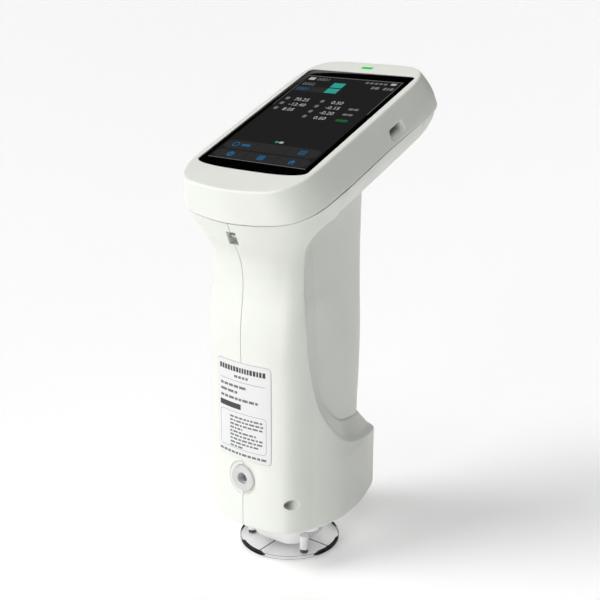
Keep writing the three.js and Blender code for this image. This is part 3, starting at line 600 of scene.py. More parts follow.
# ------------------------------------------------------------------ materials
def principled(name, color, rough=0.5, metal=0.0, **sockets):
    m = bpy.data.materials.new(name)
    m.use_nodes = True
    n = m.node_tree.nodes
    b = n.get("Principled BSDF")
    b.inputs["Base Color"].default_value = (*color[:3], 1)
    b.inputs["Roughness"].default_value = rough
    b.inputs["Metallic"].default_value = metal
    for k, v in sockets.items():
        b.inputs[k.replace("_", " ")].default_value = v
    return m, m.node_tree, b


def noise(t, scale, detail=2.0, rough=0.5, vec=None):
    n = t.nodes.new("ShaderNodeTexNoise")
    n.inputs["Scale"].default_value = scale
    n.inputs["Detail"].default_value = detail
    n.inputs["Roughness"].default_value = rough
    if vec is None:
        c = t.nodes.get("coords") or t.nodes.new("ShaderNodeTexCoord")
        c.name = "coords"
        vec = c.outputs["Object"]
    t.links.new(vec, n.inputs["Vector"])
    return n.outputs["Fac"]


def remap(t, value, a, b, lo, hi):
    n = t.nodes.new("ShaderNodeMapRange")
    for k, v in (("From Min", a), ("From Max", b), ("To Min", lo), ("To Max", hi)):
        n.inputs[k].default_value = v
    t.links.new(value, n.inputs["Value"])
    return n.outputs["Result"]


def mix_color(t, fac, a, b):
    n = t.nodes.new("ShaderNodeMix")
    n.data_type = "RGBA"
    t.links.new(fac, n.inputs["Factor"])
    for k, v in (("A", a), ("B", b)):
        s = [q for q in n.inputs if q.name == k and q.type == "RGBA"][0]
        if isinstance(v, tuple):
            s.default_value = (*v[:3], 1)
        else:
            t.links.new(v, s)
    return [q for q in n.outputs if q.type == "RGBA"][0]


def math_node(t, op, a, b=None):
    n = t.nodes.new("ShaderNodeMath")
    n.operation = op
    for i, v in enumerate((a, b)):
        if v is None:
            continue
        if isinstance(v, (int, float)):
            n.inputs[i].default_value = v
        else:
            t.links.new(v, n.inputs[i])
    return n.outputs[0]


def bump(t, b, height, strength, distance, bevel=0.0, normal=None):
    n = t.nodes.new("ShaderNodeBump")
    n.inputs["Strength"].default_value = strength
    n.inputs["Distance"].default_value = distance
    t.links.new(height, n.inputs["Height"])
    if bevel:
        v = t.nodes.new("ShaderNodeBevel")
        v.samples = 4
        v.inputs["Radius"].default_value = bevel
        t.links.new(v.outputs[0], n.inputs["Normal"])
    t.links.new(n.outputs[0], b.inputs["Normal"])


def edge_factor(t, lo=0.52, hi=0.60):
    g = t.nodes.new("ShaderNodeNewGeometry")
    return remap(t, g.outputs["Pointiness"], lo, hi, 0.0, 1.0)


def moulded(name, color, rough=0.42, grain=0.5, bevel=0.00025, shade=0.03, wear=0.25, spec=0.5, **more):
    """injection-moulded plastic: fine spark-eroded grain, slow colour drift, rubbed edges"""
    m, t, b = principled(name, color, rough, **more)
    b.inputs["Specular IOR Level"].default_value = spec
    slow = noise(t, 38, 3, 0.55)
    dark = tuple(c * (1 - shade) for c in color)
    light = tuple(min(1, c * (1 + shade * 0.6)) for c in color)
    base = mix_color(t, remap(t, slow, 0.3, 0.7, 0, 1), dark, light)
    speck = noise(t, 1500, 2, 0.6)
    base = mix_color(t, remap(t, speck, 0.25, 0.75, 0.0, 0.35), base, tuple(c * 0.965 for c in color))
    if wear:
        worn = math_node(t, "MULTIPLY", edge_factor(t), remap(t, noise(t, 160, 4, 0.6), 0.42, 0.62, 0, wear))
        base = mix_color(t, worn, base, tuple(min(1, c * 1.08 + 0.02) for c in color))
    t.links.new(base, b.inputs["Base Color"])
    r = remap(t, noise(t, 60, 4, 0.6), 0.3, 0.7, rough - 0.05, rough + 0.06)
    t.links.new(r, b.inputs["Roughness"])
    fine = noise(t, 2600, 2, 0.55)
    wavy = noise(t, 420, 2, 0.5)
    h = math_node(t, "ADD", fine, math_node(t, "MULTIPLY", wavy, 0.5))
    bump(t, b, h, grain, 0.00003, bevel)
    return m


def metal(name, color, rough=0.28, brushed=0.0, axis_scale=(1, 1, 1), bevel=0.00012):
    m, t, b = principled(name, color, rough, 1.0)
    c = t.nodes.new("ShaderNodeTexCoord")
    mp = t.nodes.new("ShaderNodeMapping")
    mp.inputs["Scale"].default_value = axis_scale
    t.links.new(c.outputs["Object"], mp.inputs["Vector"])
    streak = noise(t, 900, 3, 0.6, mp.outputs["Vector"])
    r = remap(t, streak, 0.3, 0.7, rough - 0.06, rough + 0.12)
    t.links.new(r, b.inputs["Roughness"])
    base = mix_color(t, remap(t, noise(t, 120, 3), 0.3, 0.7, 0, 1), tuple(k * 0.93 for k in color), color)
    worn = math_node(t, "MULTIPLY", edge_factor(t), 0.35)
    t.links.new(mix_color(t, worn, base, tuple(min(1, k * 1.25) for k in color)), b.inputs["Base Color"])
    bump(t, b, streak, 0.15 + brushed, 0.00002, bevel)
    return m


def circuit(name, color=(0.012, 0.09, 0.035)):
    m, t, b = principled(name, color, 0.34)
    v = t.nodes.new("ShaderNodeTexVoronoi")
    v.feature = "DISTANCE_TO_EDGE"
    v.distance = "MANHATTAN" if hasattr(v, "distance") else v.distance
    v.inputs["Scale"].default_value = 420
    c = t.nodes.new("ShaderNodeTexCoord")
    t.links.new(c.outputs["Object"], v.inputs["Vector"])
    trace = remap(t, v.outputs["Distance"], 0.03, 0.07, 1, 0)
    base = mix_color(t, trace, color, tuple(k * 2.2 + 0.01 for k in color))
    pads = remap(t, noise(t, 260, 1, 0.2), 0.66, 0.68, 0, 1)
    base = mix_color(t, pads, base, (0.55, 0.42, 0.16))
    t.links.new(base, b.inputs["Base Color"])
    t.links.new(remap(t, noise(t, 300, 2), 0.3, 0.7, 0.26, 0.44), b.inputs["Roughness"])
    bump(t, b, trace, 0.3, 0.00004)
    return m


HOUSING = (0.79, 0.808, 0.752)
mat_shell = moulded("housing_plastic", HOUSING, 0.40, 0.42)
mat_top = moulded("head_plastic", HOUSING, 0.40, 0.42)
mat_button = moulded("trigger_plastic", (0.60, 0.612, 0.585), 0.46, 0.5)
mat_nose = moulded("nose_plastic", (0.920, 0.920, 0.920), 0.34, 0.3, wear=0.15)
mat_black = moulded("black_plastic", (0.014, 0.014, 0.015), 0.5, 0.6, shade=0.12, wear=0.15)
mat_sleeve = moulded("socket_sleeve", (0.50, 0.505, 0.50), 0.45, 0.2, wear=0.1)
mat_blade = moulded("socket_blade", (0.10, 0.10, 0.10), 0.4, 0.3, wear=0.1)
mat_steel = metal("bright_steel", (0.70, 0.71, 0.71), 0.32, 0.1, (1, 8, 1))
mat_screw = metal("blackened_steel", (0.10, 0.10, 0.105), 0.34, 0.1)
mat_gold = metal("contact_gold", (0.78, 0.56, 0.22), 0.22)
mat_board = circuit("board_mask")


def turned_metal(name, color, centre):
    """lathe-turned face: rings round an axis along Y at centre (x, z), metres"""
    m, t, b = principled(name, color, 0.3, 1.0)
    c = t.nodes.new("ShaderNodeTexCoord")
    sep = t.nodes.new("ShaderNodeSeparateXYZ")
    t.links.new(c.outputs["Object"], sep.inputs[0])
    dx = math_node(t, "SUBTRACT", sep.outputs[0], centre[0])
    dz = math_node(t, "SUBTRACT", sep.outputs[2], centre[1])
    r = math_node(t, "SQRT", math_node(t, "ADD", math_node(t, "MULTIPLY", dx, dx), math_node(t, "MULTIPLY", dz, dz)))
    rings = math_node(t, "SINE", math_node(t, "MULTIPLY", r, 2 * math.pi / 0.00016))
    jitter = noise(t, 700, 3, 0.6)
    h = math_node(t, "ADD", math_node(t, "MULTIPLY", rings, 0.5), jitter)
    t.links.new(remap(t, jitter, 0.3, 0.7, 0.42, 0.6), b.inputs["Roughness"])
    base = mix_color(t, remap(t, noise(t, 240, 3), 0.3, 0.7, 0, 1), tuple(k * 0.92 for k in color), color)
    t.links.new(base, b.inputs["Base Color"])
    bump(t, b, h, 0.22, 0.00002, 0.00012)
    return m


mat_bore = metal("threaded_bore", (0.74, 0.745, 0.75), 0.55, 0.08)
mat_insert = turned_metal("insert_metal", (0.72, 0.723, 0.72), (0.0, INSERT_Z / 1000))

# black back-printed cover glass
mat_glass, t, b = principled("cover_glass", (0.0008, 0.0008, 0.001), 0.06)
b.inputs["Specular IOR Level"].default_value = 0.25
b.inputs["IOR"].default_value = 1.22
smear = remap(t, noise(t, 22, 5, 0.65), 0.45, 0.75, 0.05, 0.11)
t.links.new(smear, b.inputs["Roughness"])
t.links.new(mix_color(t, remap(t, noise(t, 9, 4), 0.4, 0.8, 0, 1), (0.0008, 0.0008, 0.001), (0.0022, 0.0022, 0.0024)), b.inputs["Base Color"])


def lit(name, color, emit, strength, rough=0.14, spread=0.06, spec=0.25):
    """a patch of the lit screen image under the glass, with a faint pixel grid"""
    m, t, b = principled(name, color, rough)
    b.inputs["Specular IOR Level"].default_value = spec
    b.inputs["IOR"].default_value = 1.25
    b.inputs["Emission Strength"].default_value = strength
    w = noise(t, 3800, 1, 0.4)
    lo, hi = tuple(k * (1 - spread) for k in emit), tuple(min(1, k * (1 + spread)) for k in emit)
    t.links.new(mix_color(t, remap(t, w, 0.35, 0.65, 0, 1), lo, hi), b.inputs["Emission Color"])
    t.links.new(remap(t, noise(t, 22, 5, 0.65), 0.45, 0.75, rough - 0.03, rough + 0.04), b.inputs["Roughness"])
    return m


mat_panel = lit("screen_ground", (0.003, 0.003, 0.003), (0.0122, 0.0122, 0.0124), 1.0)
mat_white = lit("screen_white", (0.01, 0.01, 0.01), (0.42, 0.42, 0.42), 1.0)
mat_teal = lit("screen_teal", (0.01, 0.02, 0.02), (0.022, 0.30, 0.26), 1.0)
mat_blue = lit("screen_blue", (0.005, 0.01, 0.015), (0.014, 0.105, 0.225), 1.0)
mat_green = lit("screen_green", (0.01, 0.02, 0.01), (0.006, 0.085, 0.02), 1.0)
mat_pill = lit("screen_key", (0.006, 0.006, 0.006), (0.021, 0.021, 0.0215), 1.0)
mat_dim = lit("screen_dim", (0.006, 0.006, 0.006), (0.16, 0.16, 0.16), 1.0)
mat_led = lit("status_green", (0.002, 0.16, 0.012), (0.001, 0.44, 0.022), 1.0, 0.5, 0.1, 0.05)

# clear acrylic
mat_clear, t, b = principled("clear_acrylic", (0.97, 0.985, 0.98), 0.02)
b.inputs["Transmission Weight"].default_value = 1.0
b.inputs["IOR"].default_value = 1.49
b.inputs["Alpha"].default_value = 0.15
t.links.new(remap(t, noise(t, 90, 5, 0.65), 0.45, 0.8, 0.01, 0.06), b.inputs["Roughness"])
bump(t, b, noise(t, 420, 3), 0.05, 0.00002)
# painted shade: dark grey for the clear rim's edges, standing in for the darkening that internal reflection gives them
mat_rim_painted_dark = moulded("rim_painted_dark", (0.10, 0.10, 0.105), 0.3, 0.3, bevel=0, shade=0.2, wear=0)
# black print for the plate's crosshair lines, also used as painted reflection on the plate rim
mat_ink_and_painted_reflection = moulded("black_print_and_painted_reflection", (0.006, 0.006, 0.007), 0.5, 0.3, bevel=0, shade=0.2, wear=0, spec=0.1)

mat_lens, t, b = principled("coated_glass", (0.86, 0.93, 0.95), 0.02)
b.inputs["Transmission Weight"].default_value = 1.0
b.inputs["IOR"].default_value = 1.62
b.inputs["Coat Weight"].default_value = 0.4
b.inputs["Coat Tint"].default_value = (0.75, 0.6, 1.0, 1)
t.links.new(remap(t, noise(t, 60, 4), 0.4, 0.8, 0.01, 0.04), b.inputs["Roughness"])

mat_label, t, b = principled("label_film", (0.75, 0.755, 0.75), 0.45)
b.inputs["Metallic"].default_value = 0.08
f = noise(t, 1800, 3, 0.6)
t.links.new(mix_color(t, remap(t, f, 0.3, 0.7, 0, 1), (0.735, 0.74, 0.735), (0.77, 0.775, 0.77)), b.inputs["Base Color"])
t.links.new(remap(t, noise(t, 90, 4), 0.3, 0.7, 0.36, 0.5), b.inputs["Roughness"])
bump(t, b, f, 0.2, 0.00002, 0.0001)
mat_print = moulded("label_print", (0.045, 0.042, 0.042), 0.5, 0.3, bevel=0, shade=0.15, wear=0)
mat_print_soft = moulded("label_print_fine", (0.16, 0.16, 0.165), 0.5, 0.3, bevel=0, shade=0.1, wear=0)

mat_cream = moulded("sphere_coating", (0.90, 0.89, 0.86), 0.9, 1.2, bevel=0, shade=0.02, wear=0, spec=0.1)
mat_lcd = moulded("display_back", (0.03, 0.03, 0.032), 0.25, 0.2, shade=0.1)
mat_battery = moulded("battery_wrap", (0.02, 0.055, 0.13), 0.3, 0.5, shade=0.12)
mat_grating, t, b = principled("ruled_mirror", (0.80, 0.81, 0.83), 0.08, 1.0)
wv = t.nodes.new("ShaderNodeTexWave")
wv.inputs["Scale"].default_value = 900
c = t.nodes.new("ShaderNodeTexCoord")
t.links.new(c.outputs["Object"], wv.inputs["Vector"])
t.links.new(mix_color(t, wv.outputs["Fac"], (0.70, 0.74, 0.84), (0.86, 0.84, 0.78)), b.inputs["Base Color"])
bump(t, b, wv.outputs["Fac"], 0.15, 0.00001)


def piece(name, shape, material, nodes=(), body="housing", angle=32.0, clean=True):
    me = shape if isinstance(shape, bpy.types.Mesh) else outward(mesh_of(name, shape))
    o = bpy.data.objects.new(name, me)
    bpy.context.scene.collection.objects.link(o)
    if clean:
        tidy(me, angle)
    me.materials.clear()
    me.materials.append(material)
    me.polygons.foreach_set("material_index", [0] * len(me.polygons))
    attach(o, body)
    if nodes:
        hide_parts(*([nodes] if isinstance(nodes, str) else nodes))
    return o


# ------------------------------------------------------------------ lower housing
H = 0.5
LO, HI = (-37.2, -58.2, 16.2), (37.2, 61.8, 196.2)
skin = surface_net(field, LO, HI, H)


def polar_loft(table, coef, row0, pitch, levels, centre_y, inset, every=6):
    """solid of the polar table's rows at the given levels, drawn in by inset along the surface"""
    phi = np.linspace(-np.pi / 2, 3 * np.pi / 2, PHI_N, endpoint=False)[::every]
    cols = np.arange(0, PHI_N, every)
    rings = []
    for lv in levels:
        u = np.full(len(cols), (lv - row0) / pitch)
        r = sample(table, u, cols.astype(float)) - inset / np.maximum(sample(coef, u, cols.astype(float)), 0.55)
        rings.append(np.stack([r * np.cos(phi), centre_y + r * np.sin(phi), np.full(len(cols), lv)], 1))
    return loft(rings)


cavity_body = polar_loft(BODY_R, BODY_C, Z_LO, Z_STEP, np.arange(FOOT_Z + 3.2, 199, 2.5), YC, WALL)
cavity_head = in_head(polar_loft(HEAD_R, HEAD_C, O_LO, O_STEP, np.arange(UNDER_O + WALL, -5.3, 1.5), 0.0, WALL))

seam_line = [(yp, float(seam_o(yp))) for yp in np.linspace(-90, 90, 121)]


def seam_solid(above, gap):
    line = [(y, o + gap) for y, o in seam_line]
    rest = [(90, 60), (-90, 60)] if above else [(90, -260), (-250, -260), (-250, -13.4)]
    return in_head(prism(line + rest, "x", -70, 70))


def front_y(x):
    n = 5 * N_SUB + 1
    return np.interp(np.abs(x), O_F[:n, 0], O_F[:n, 1])


def front_strip(half, z0, z1, out, inn, steps=56):
    xs = np.linspace(-half, half, steps + 1)
    y = front_y(xs)
    return prism([*zip(xs, y - out), *zip(xs[::-1], y[::-1] + inn)], "z", z0, z1)


insert_at = (0, -43.5, INSERT_Z)
low_boss = carve("low_boss", along_x(rod(4.4, -17, 24), (0, HOLE_Y + 2.2, HOLE_Z)), [("&", skin)])
slot_block = carve("slot_block", block(-4.4, 4.4, -47.4, -40.2, SLOT_Z - 5, SLOT_Z + 4.6), [("&", skin), ("&", seam_solid(False, -0.15))])
steps = [
    ("&", seam_solid(False, -0.3)),
    ("-", cavity_body),
    ("-", cavity_head),
    ("+", low_boss),
    ("+", along_y(rod(7.9, 1.2, 10.6), insert_at)),
    ("-", along_x(turned([(0, 8.4), (2.4, 8.4), (2.4, 22.4), (2.6, 24.6), (2.6, 32), (0, 32)], 64), (0, HOLE_Y, HOLE_Z))),
    ("-", along_x(rod(1.5, -9, 10), (0, HOLE_Y, HOLE_Z))),
]
for x, y in HEAD_SCREWS:
    so = float(seam_o(y))
    steps += [
        ("+", in_head(rod(2.4, UNDER_O + 1.2, so - 0.15), (x, y, 0))),
        ("-", in_head(rod(1.8, UNDER_O - (3 if y > -10 else 0.6), UNDER_O + 3.2), (x, y, 0))),
        ("-", in_head(rod(1.0, UNDER_O, 2 + so, 24), (x, y, 0))),
    ]
label_seat = carve("label_seat", front_strip(LABEL_W / 2 + 0.12, LABEL_Z0 - 0.12, LABEL_Z1 + 0.12, 3, 0.35),
                   [("&", prism(round_rect(LABEL_W + 0.24, LABEL_Z1 - LABEL_Z0 + 0.24, 2.2, 10, 0, (LABEL_Z0 + LABEL_Z1) / 2), "y", -60, -30))])
seat = turned([(0, -4), (8.6, -4), (7.75, 0.1), (7.45, 0.5), (7.2, 0.72), (7.0, 0.75), (0, 0.75)], 96)
steps += [
    ("-", prism(round_rect(31, 31, 9.5, 10, 0, PORT_Y), "z", 15, 24)),
    ("-", label_seat),
    ("-", along_y(seat, insert_at)),
    ("-", along_y(rod(5.85, -1, 12, 64), insert_at)),
    ("+", slot_block),
    ("-", block(-SLOT_W / 2, SLOT_W / 2, -60, -42.6, SLOT_Z - SLOT_H / 2, SLOT_Z + SLOT_H / 2)),
    ("-", along_x(rod(1.0, -3.9, 3.9, 24), (0, -45.8, SLOT_Z + 0.5))),
    ("-", prism(round_rect(BTN_W, BTN_Z1 - BTN_Z0, 5.5, 10, 0, BZ), "y", 19, 34)),
]
lower = carve("lower", skin, steps)
far_box = block(-70, 70, CAP_Y + 0.15, 90, 140, 230)
near_box = block(-70, 70, -90, CAP_Y - 0.15, 0, 230)
cap_mesh = carve("head_end_cap_skin", lower.copy(), [("&", far_box)])
right = carve("right_shell_skin", lower.copy(), [("&", near_box), ("&", block(0.12, 70, -95, 95, 0, 230))])
left = carve("left_shell_skin", lower.copy(), [("&", near_box), ("&", block(-70, -0.12, -95, 95, 0, 230))])
piece("left_shell_skin", left, mat_shell, "left_shell")
piece("right_shell_skin", right, mat_shell, "right_shell")
piece("head_end_cap_skin", cap_mesh, mat_top, "head_end_cap")

# ------------------------------------------------------------------ upper housing of the head
BEZEL_F = mirror(dense(BEZEL, 10, mirrored=True))
WIDE = rim_ring(1.75, 2.3, 4.4, 1.5, 1.1)      # outline 12 mm below the bezel
CORNER = grow(BEZEL_F, 0.3)
# the side is straight, but for the far corners, which swell
BELLY = (1 + 0.55 * np.where(RIM_N[:, 1] > 0, (2 * RIM_N[:, 0] * RIM_N[:, 1]) ** 2, 0))[:, None]


def draft_ring(o, inset=0.0):
    """straight drafted side between the wide outline and the bezel's corner"""
    ring = WIDE + (CORNER - WIDE) * ((o + 12) / 12.3) ** BELLY
    return place(grow(ring, -inset), "z", o)


top_rings = [place(rim_ring(2.1, 3.9, 5.3, 1.5, 1.4), "z", -21), place(rim_ring(1.95, 3.2, 5.0, 1.5, 1.3), "z", -16.5), place(WIDE, "z", -12)]
top_rings += [draft_ring(o) for o in (-10, -8, -6, -4, -2, -1.2, -0.7)]
top_rings += [draft_ring(-0.42, 0.015), draft_ring(-0.15, 0.08), draft_ring(0.06, 0.19), draft_ring(0.2, 0.34), draft_ring(0.275, 0.52), draft_ring(0.3, 0.72)]
top_rings.append(place(grow(BEZEL_F, -2.0), "z", 0.3))
top_skin = in_head(loft(top_rings))
top_hollow = in_head(loft([place(rim_ring(s, fr, fa), "z", o) for o, s, fr, fa in
                           ((UNDER_O + WALL, -5.4, -9.5, -8.5), (-17.6, -3.2, -6.2, -3), (-13.2, -1.2, -1.6, 0.6), (-3.1, -4, -2.6, -1.8))]))


def glass_outline(by, fine=64):
    w, o = GLASS_HALF + by, []
    r, yb, ya, c = 2.2, 42.07 + by, -38.4, 4.3 + by
    for i in range(9):
        a = math.radians(90 * i / 8)
        o.append((w - r + r * math.cos(a), yb - r + r * math.sin(a)))
    for i in range(9):
        a = math.radians(90 + 90 * i / 8)
        o.append((-w + r + r * math.cos(a), yb - r + r * math.sin(a)))
    for i in range(fine + 1):
        s = -math.cos(math.pi * i / fine)
        e = max(0.0, 1 - abs(s) ** 3.2) ** (1 / 2.2)
        o.append((w * s, ya - c * e))
    return np.array(o)


usb_at = (0, 13, -8.5)
DRAFT = math.radians(18.85)


def on_side(shape):
    """shape whose x axis leaves the socket side squarely, brought into the head frame"""
    v = shape[0]
    x, z = v[:, 0] * math.cos(DRAFT) - v[:, 2] * math.sin(DRAFT), v[:, 0] * math.sin(DRAFT) + v[:, 2] * math.cos(DRAFT)
    return in_head((np.stack([x + 33.8, v[:, 1], z], 1), shape[1]), usb_at)


top_steps = [("&", seam_solid(True, 0.15)), ("-", top_hollow),
             ("-", in_head(loft([place(glass_outline(GAP - 0.15), "z", -1.8), place(glass_outline(GAP - 0.15), "z", 0.18), place(glass_outline(GAP), "z", 0.31), place(glass_outline(GAP), "z", 5)]))),
             ("-", in_head(prism(round_rect(50.6, 76, 1, 4, 0, 0.2), "z", -6, 5))),
             ("-", in_head(prism(round_rect(6.1, 2.0, 0.95, 8, 0, 46.6), "z", -6, 5))),
             ("-", in_head(prism(round_rect(8.5, 3.15, 1.5, 12), "x", 23.4, 45), usb_at)),
             ("-", on_side(loft([place(round_rect(9.7, 4.3, 1.6, 12), "x", -0.5), place(round_rect(10.2, 4.8, 1.8, 12), "x", -0.42), place(round_rect(10.8, 5.3, 2.0, 12), "x", -0.1), place(round_rect(13.0, 7.4, 2.9, 12), "x", 0.7)])))]
for x, y in HEAD_SCREWS:
    so = float(seam_o(y))
    boss = carve("boss", in_head(rod(2.4, so + 0.15, -2.4), (x, y, 0)), [("&", top_skin)])
    top_steps += [("+", boss), ("-", in_head(rod(1.0, so - 2, -6.5, 24), (x, y, 0)))]
top = carve("top_cover_skin", top_skin, top_steps)
piece("top_cover_skin", top, mat_top, "top_cover")

# ------------------------------------------------------------------ screen
glass = in_head(loft([place(glass_outline(-0.1), "z", -1.45), place(glass_outline(0), "z", -1.35), place(glass_outline(0), "z", -0.08),
                      place(glass_outline(-0.04), "z", 0.0), place(glass_outline(-0.14), "z", 0.05)]))
piece("touch_glass_pane", glass, mat_glass, "touch_glass", angle=50)

GLASS_TOP = 0.05
image_parts = {}


def patch(mat, outline, level, cut=None):
    """thin flat part of the screen image; level sets which lies over which"""
    o = np.asarray(outline, float)
    lo = GLASS_TOP + 0.001
    image_parts.setdefault(mat, []).append(in_head(prism(o, "z", lo, GLASS_TOP + 0.006 * (level + 1))))


def bar(x0, x1, y0, y1, r=0.0, seg=4):
    if r:
        return round_rect(x1 - x0, y1 - y0, r, seg, (x0 + x1) / 2, (y0 + y1) / 2)
    return np.array([(x0, y0), (x1, y0), (x1, y1), (x0, y1)])


def digits(text, x, y, size, mat, level=3):
    cu = bpy.data.curves.new("digits", "FONT")
    cu.body, cu.size, cu.resolution_u = text, 1.0, 3
    o = bpy.data.objects.new("digits", cu)
    bpy.context.scene.collection.objects.link(o)
    bpy.context.view_layer.update()
    me = bpy.data.meshes.new_from_object(o.evaluated_get(bpy.context.evaluated_depsgraph_get()))
    v = np.array([q.co[:2] for q in me.vertices])
    f = [list(p.vertices) for p in me.polygons]
    bpy.data.objects.remove(o)
    bpy.data.curves.remove(cu)
    bpy.data.meshes.remove(me)
    edge = {}
    for q in f:
        for a, c2 in zip(q, q[1:] + q[:1]):
            edge[(a, c2)] = edge.get((a, c2), 0) + 1
    lo, hi = GLASS_TOP + 0.001, GLASS_TOP + 0.006 * (level + 1)
    xy = v * size + np.array([x, y])
    n = len(v)
    v3 = np.vstack([np.column_stack([xy, np.full(n, lo)]), np.column_stack([xy, np.full(n, hi)])])
    faces = [q[::-1] for q in f] + [[i + n for i in q] for q in f]
    for (a, c2) in edge:
        if (c2, a) not in edge:
            faces.append([a, c2, c2 + n, a + n])
    image_parts.setdefault(mat, []).append(in_head((v3, faces)))


patch("panel", bar(-24.6, 24.6, -36.2, 36.4), 0)
for x0, x1, y0, y1 in ((-24.6, 24.6, 36.0, 36.4), (-24.6, 24.6, -36.3, -36.0), (24.35, 24.6, 8.0, 36.0), (-24.6, -24.4, 9.0, 36.0)):
    patch("dim", bar(x0, x1, y0, y1), 2)
patch("white", bar(-22.4, -19.2, 32.6, 34.9, 0.4), 3)
digits("0001", -18.0, 32.5, 3.5, "dim")
digits("0002", -22.6, 27.7, 3.3, "dim")
patch("pill", bar(-24.0, -7.4, 22.2, 26.6), 1)
digits("0001", -22.6, 23.2, 3.2, "blue")
patch("teal", bar(-7.3, -1.2, 27.3, 31.5), 2)
patch("teal", bar(-7.2, -1.0, 22.4, 26.5), 2)
for k in range(5):
    patch("dim", bar(7.4 + 2.3 * k, 8.9 + 2.3 * k, 33.1, 34.5, 0.2), 3)
patch("white", bar(19.9, 22.4, 33.3, 35.0, 0.3), 3)
patch("dim", bar(22.5, 22.8, 33.8, 34.5), 3)
for x0, x1 in ((12.6, 13.9), (14.3, 16.4), (18.6, 20.0), (20.5, 21.4), (21.9, 23.4)):
    patch("dim", bar(x0, x1, 28.9, 31.0, 0.4), 3)
rows = [("70.25", "0.50", 14.3), ("-12.40", "-0.15", 9.9), ("8.05", "-0.20", 5.4)]
for k, (a, c2, y) in enumerate(rows):
    patch("dim", bar(-22.0, -20.0, y - 0.2, y + 1.9, 0.5), 3)
    digits(a, -17.2, y - 0.5, 3.5, "white")
    patch("dim", bar(-3.6, -1.8, y - 0.2, y + 1.9, 0.5), 3)
    digits(c2, 2.2, y - 0.5, 3.5, "white")
    if k:
        patch("dim", bar(13.6, 15.9, y + 0.2, y + 1.7, 0.4), 3)
        patch("dim", bar(16.3, 18.4, y + 0.2, y + 1.7, 0.4), 3)
patch("dim", bar(-3.6, -1.8, 0.8, 2.9, 0.5), 3)
digits("0.60", 2.2, 0.5, 3.5, "white")
patch("green", bar(13.4, 19.2, 0.4, 2.3, 0.6), 3)
patch("teal", bar(-1.9, -0.2, -20.6, -19.4, 0.5), 3)
patch("white", bar(0.1, 2.2, -20.7, -19.3, 0.6), 3)
for y0, y1 in ((-28.6, -22.1), (-35.6, -29.5)):
    patch("pill", bar(-23.7, 23.7, y0, y1, 3.0, 10), 1)
    for x in (-7.9, 7.9):
        patch("panel", bar(x - 0.14, x + 0.14, y0 + 0.15, y1 - 0.15), 2)
icon = lambda cx, cy, r, n, turn=0.0: np.array([(cx + r * math.cos(2 * math.pi * i / n + turn), cy + r * math.sin(2 * math.pi * i / n + turn)) for i in range(n)])


def ring_icon(cx, cy, r, n, wide, mat="blue"):
    """open ring made of n short bars"""
    outer, inner = icon(cx, cy, r, n), icon(cx, cy, r - wide, n)
    for i in range(n):
        j = (i + 1) % n
        patch(mat, [outer[i], outer[j], inner[j], inner[i]], 3)


ring_icon(-18.3, -25.2, 1.7, 18, 0.5)
patch("blue", bar(-15.3, -11.0, -26.0, -24.4, 0.4), 3)
for x0, x1, y0, y1 in ((14.0, 17.2, -24.2, -23.8), (14.0, 17.2, -26.8, -26.4), (14.0, 14.4, -26.4, -24.2), (16.8, 17.2, -26.4, -24.2)):
    patch("blue", bar(x0, x1, y0, y1), 3)
ring_icon(15.6, -25.3, 0.85, 12, 0.3)
patch("blue", icon(-15.5, -32.6, 1.75, 28), 3)
for k in range(3):
    patch("pill", bar(-16.4 + 0.75 * k, -16.05 + 0.75 * k, -33.4, -31.8 - 0.3 * (k % 2)), 4)
patch("blue", bar(-1.4, 1.8, -34.2, -31.0, 0.4), 3)
for k in range(3):
    patch("pill", bar(-0.8, 1.2, -33.7 + 0.9 * k, -33.4 + 0.9 * k), 4)
patch("blue", [(14.0, -32.6), (15.6, -31.0), (17.2, -32.6), (16.7, -32.6), (16.7, -34.2), (14.5, -34.2), (14.5, -32.6)], 3)
patch("pill", bar(15.25, 15.95, -34.2, -33.0), 4)
mats_image = {"panel": mat_panel, "white": mat_white, "teal": mat_teal, "blue": mat_blue, "green": mat_green, "pill": mat_pill, "dim": mat_dim}
order = list(mats_image)
me = bpy.data.meshes.new("screen_image")
v, f, mi, n = [], [], [], 0
for k, name in enumerate(order):
    for sv, sf in image_parts[name]:
        v.append(sv)
        f += [[i + n for i in q] for q in sf]
        mi += [k] * len(sf)
        n += len(sv)
me.from_pydata(to_m(np.vstack(v)).tolist(), [], f)
for name in order:
    me.materials.append(mats_image[name])
me.polygons.foreach_set("material_index", mi)
me.update()
outward(me)
screen = bpy.data.objects.new("screen_image", me)
bpy.context.scene.collection.objects.link(screen)
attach(screen, "housing")

# status light
led = in_head(loft([place(round_rect(5.0, 1.3, 0.6, 8, 0, 46.6), "z", -3.4), place(round_rect(5.0, 1.3, 0.6, 8, 0, 46.6), "z", -3.0), place(round_rect(5.7, 1.6, 0.78, 8, 0, 46.6), "z", -2.9),
                    place(round_rect(5.7, 1.6, 0.78, 8, 0, 46.6), "z", 0.18), place(round_rect(5.5, 1.4, 0.68, 8, 0, 46.6), "z", 0.32), place(round_rect(5.1, 1.0, 0.48, 8, 0, 46.6), "z", 0.38)]))
piece("status_light_lens", led, mat_led, "status_light_pipe", angle=60)

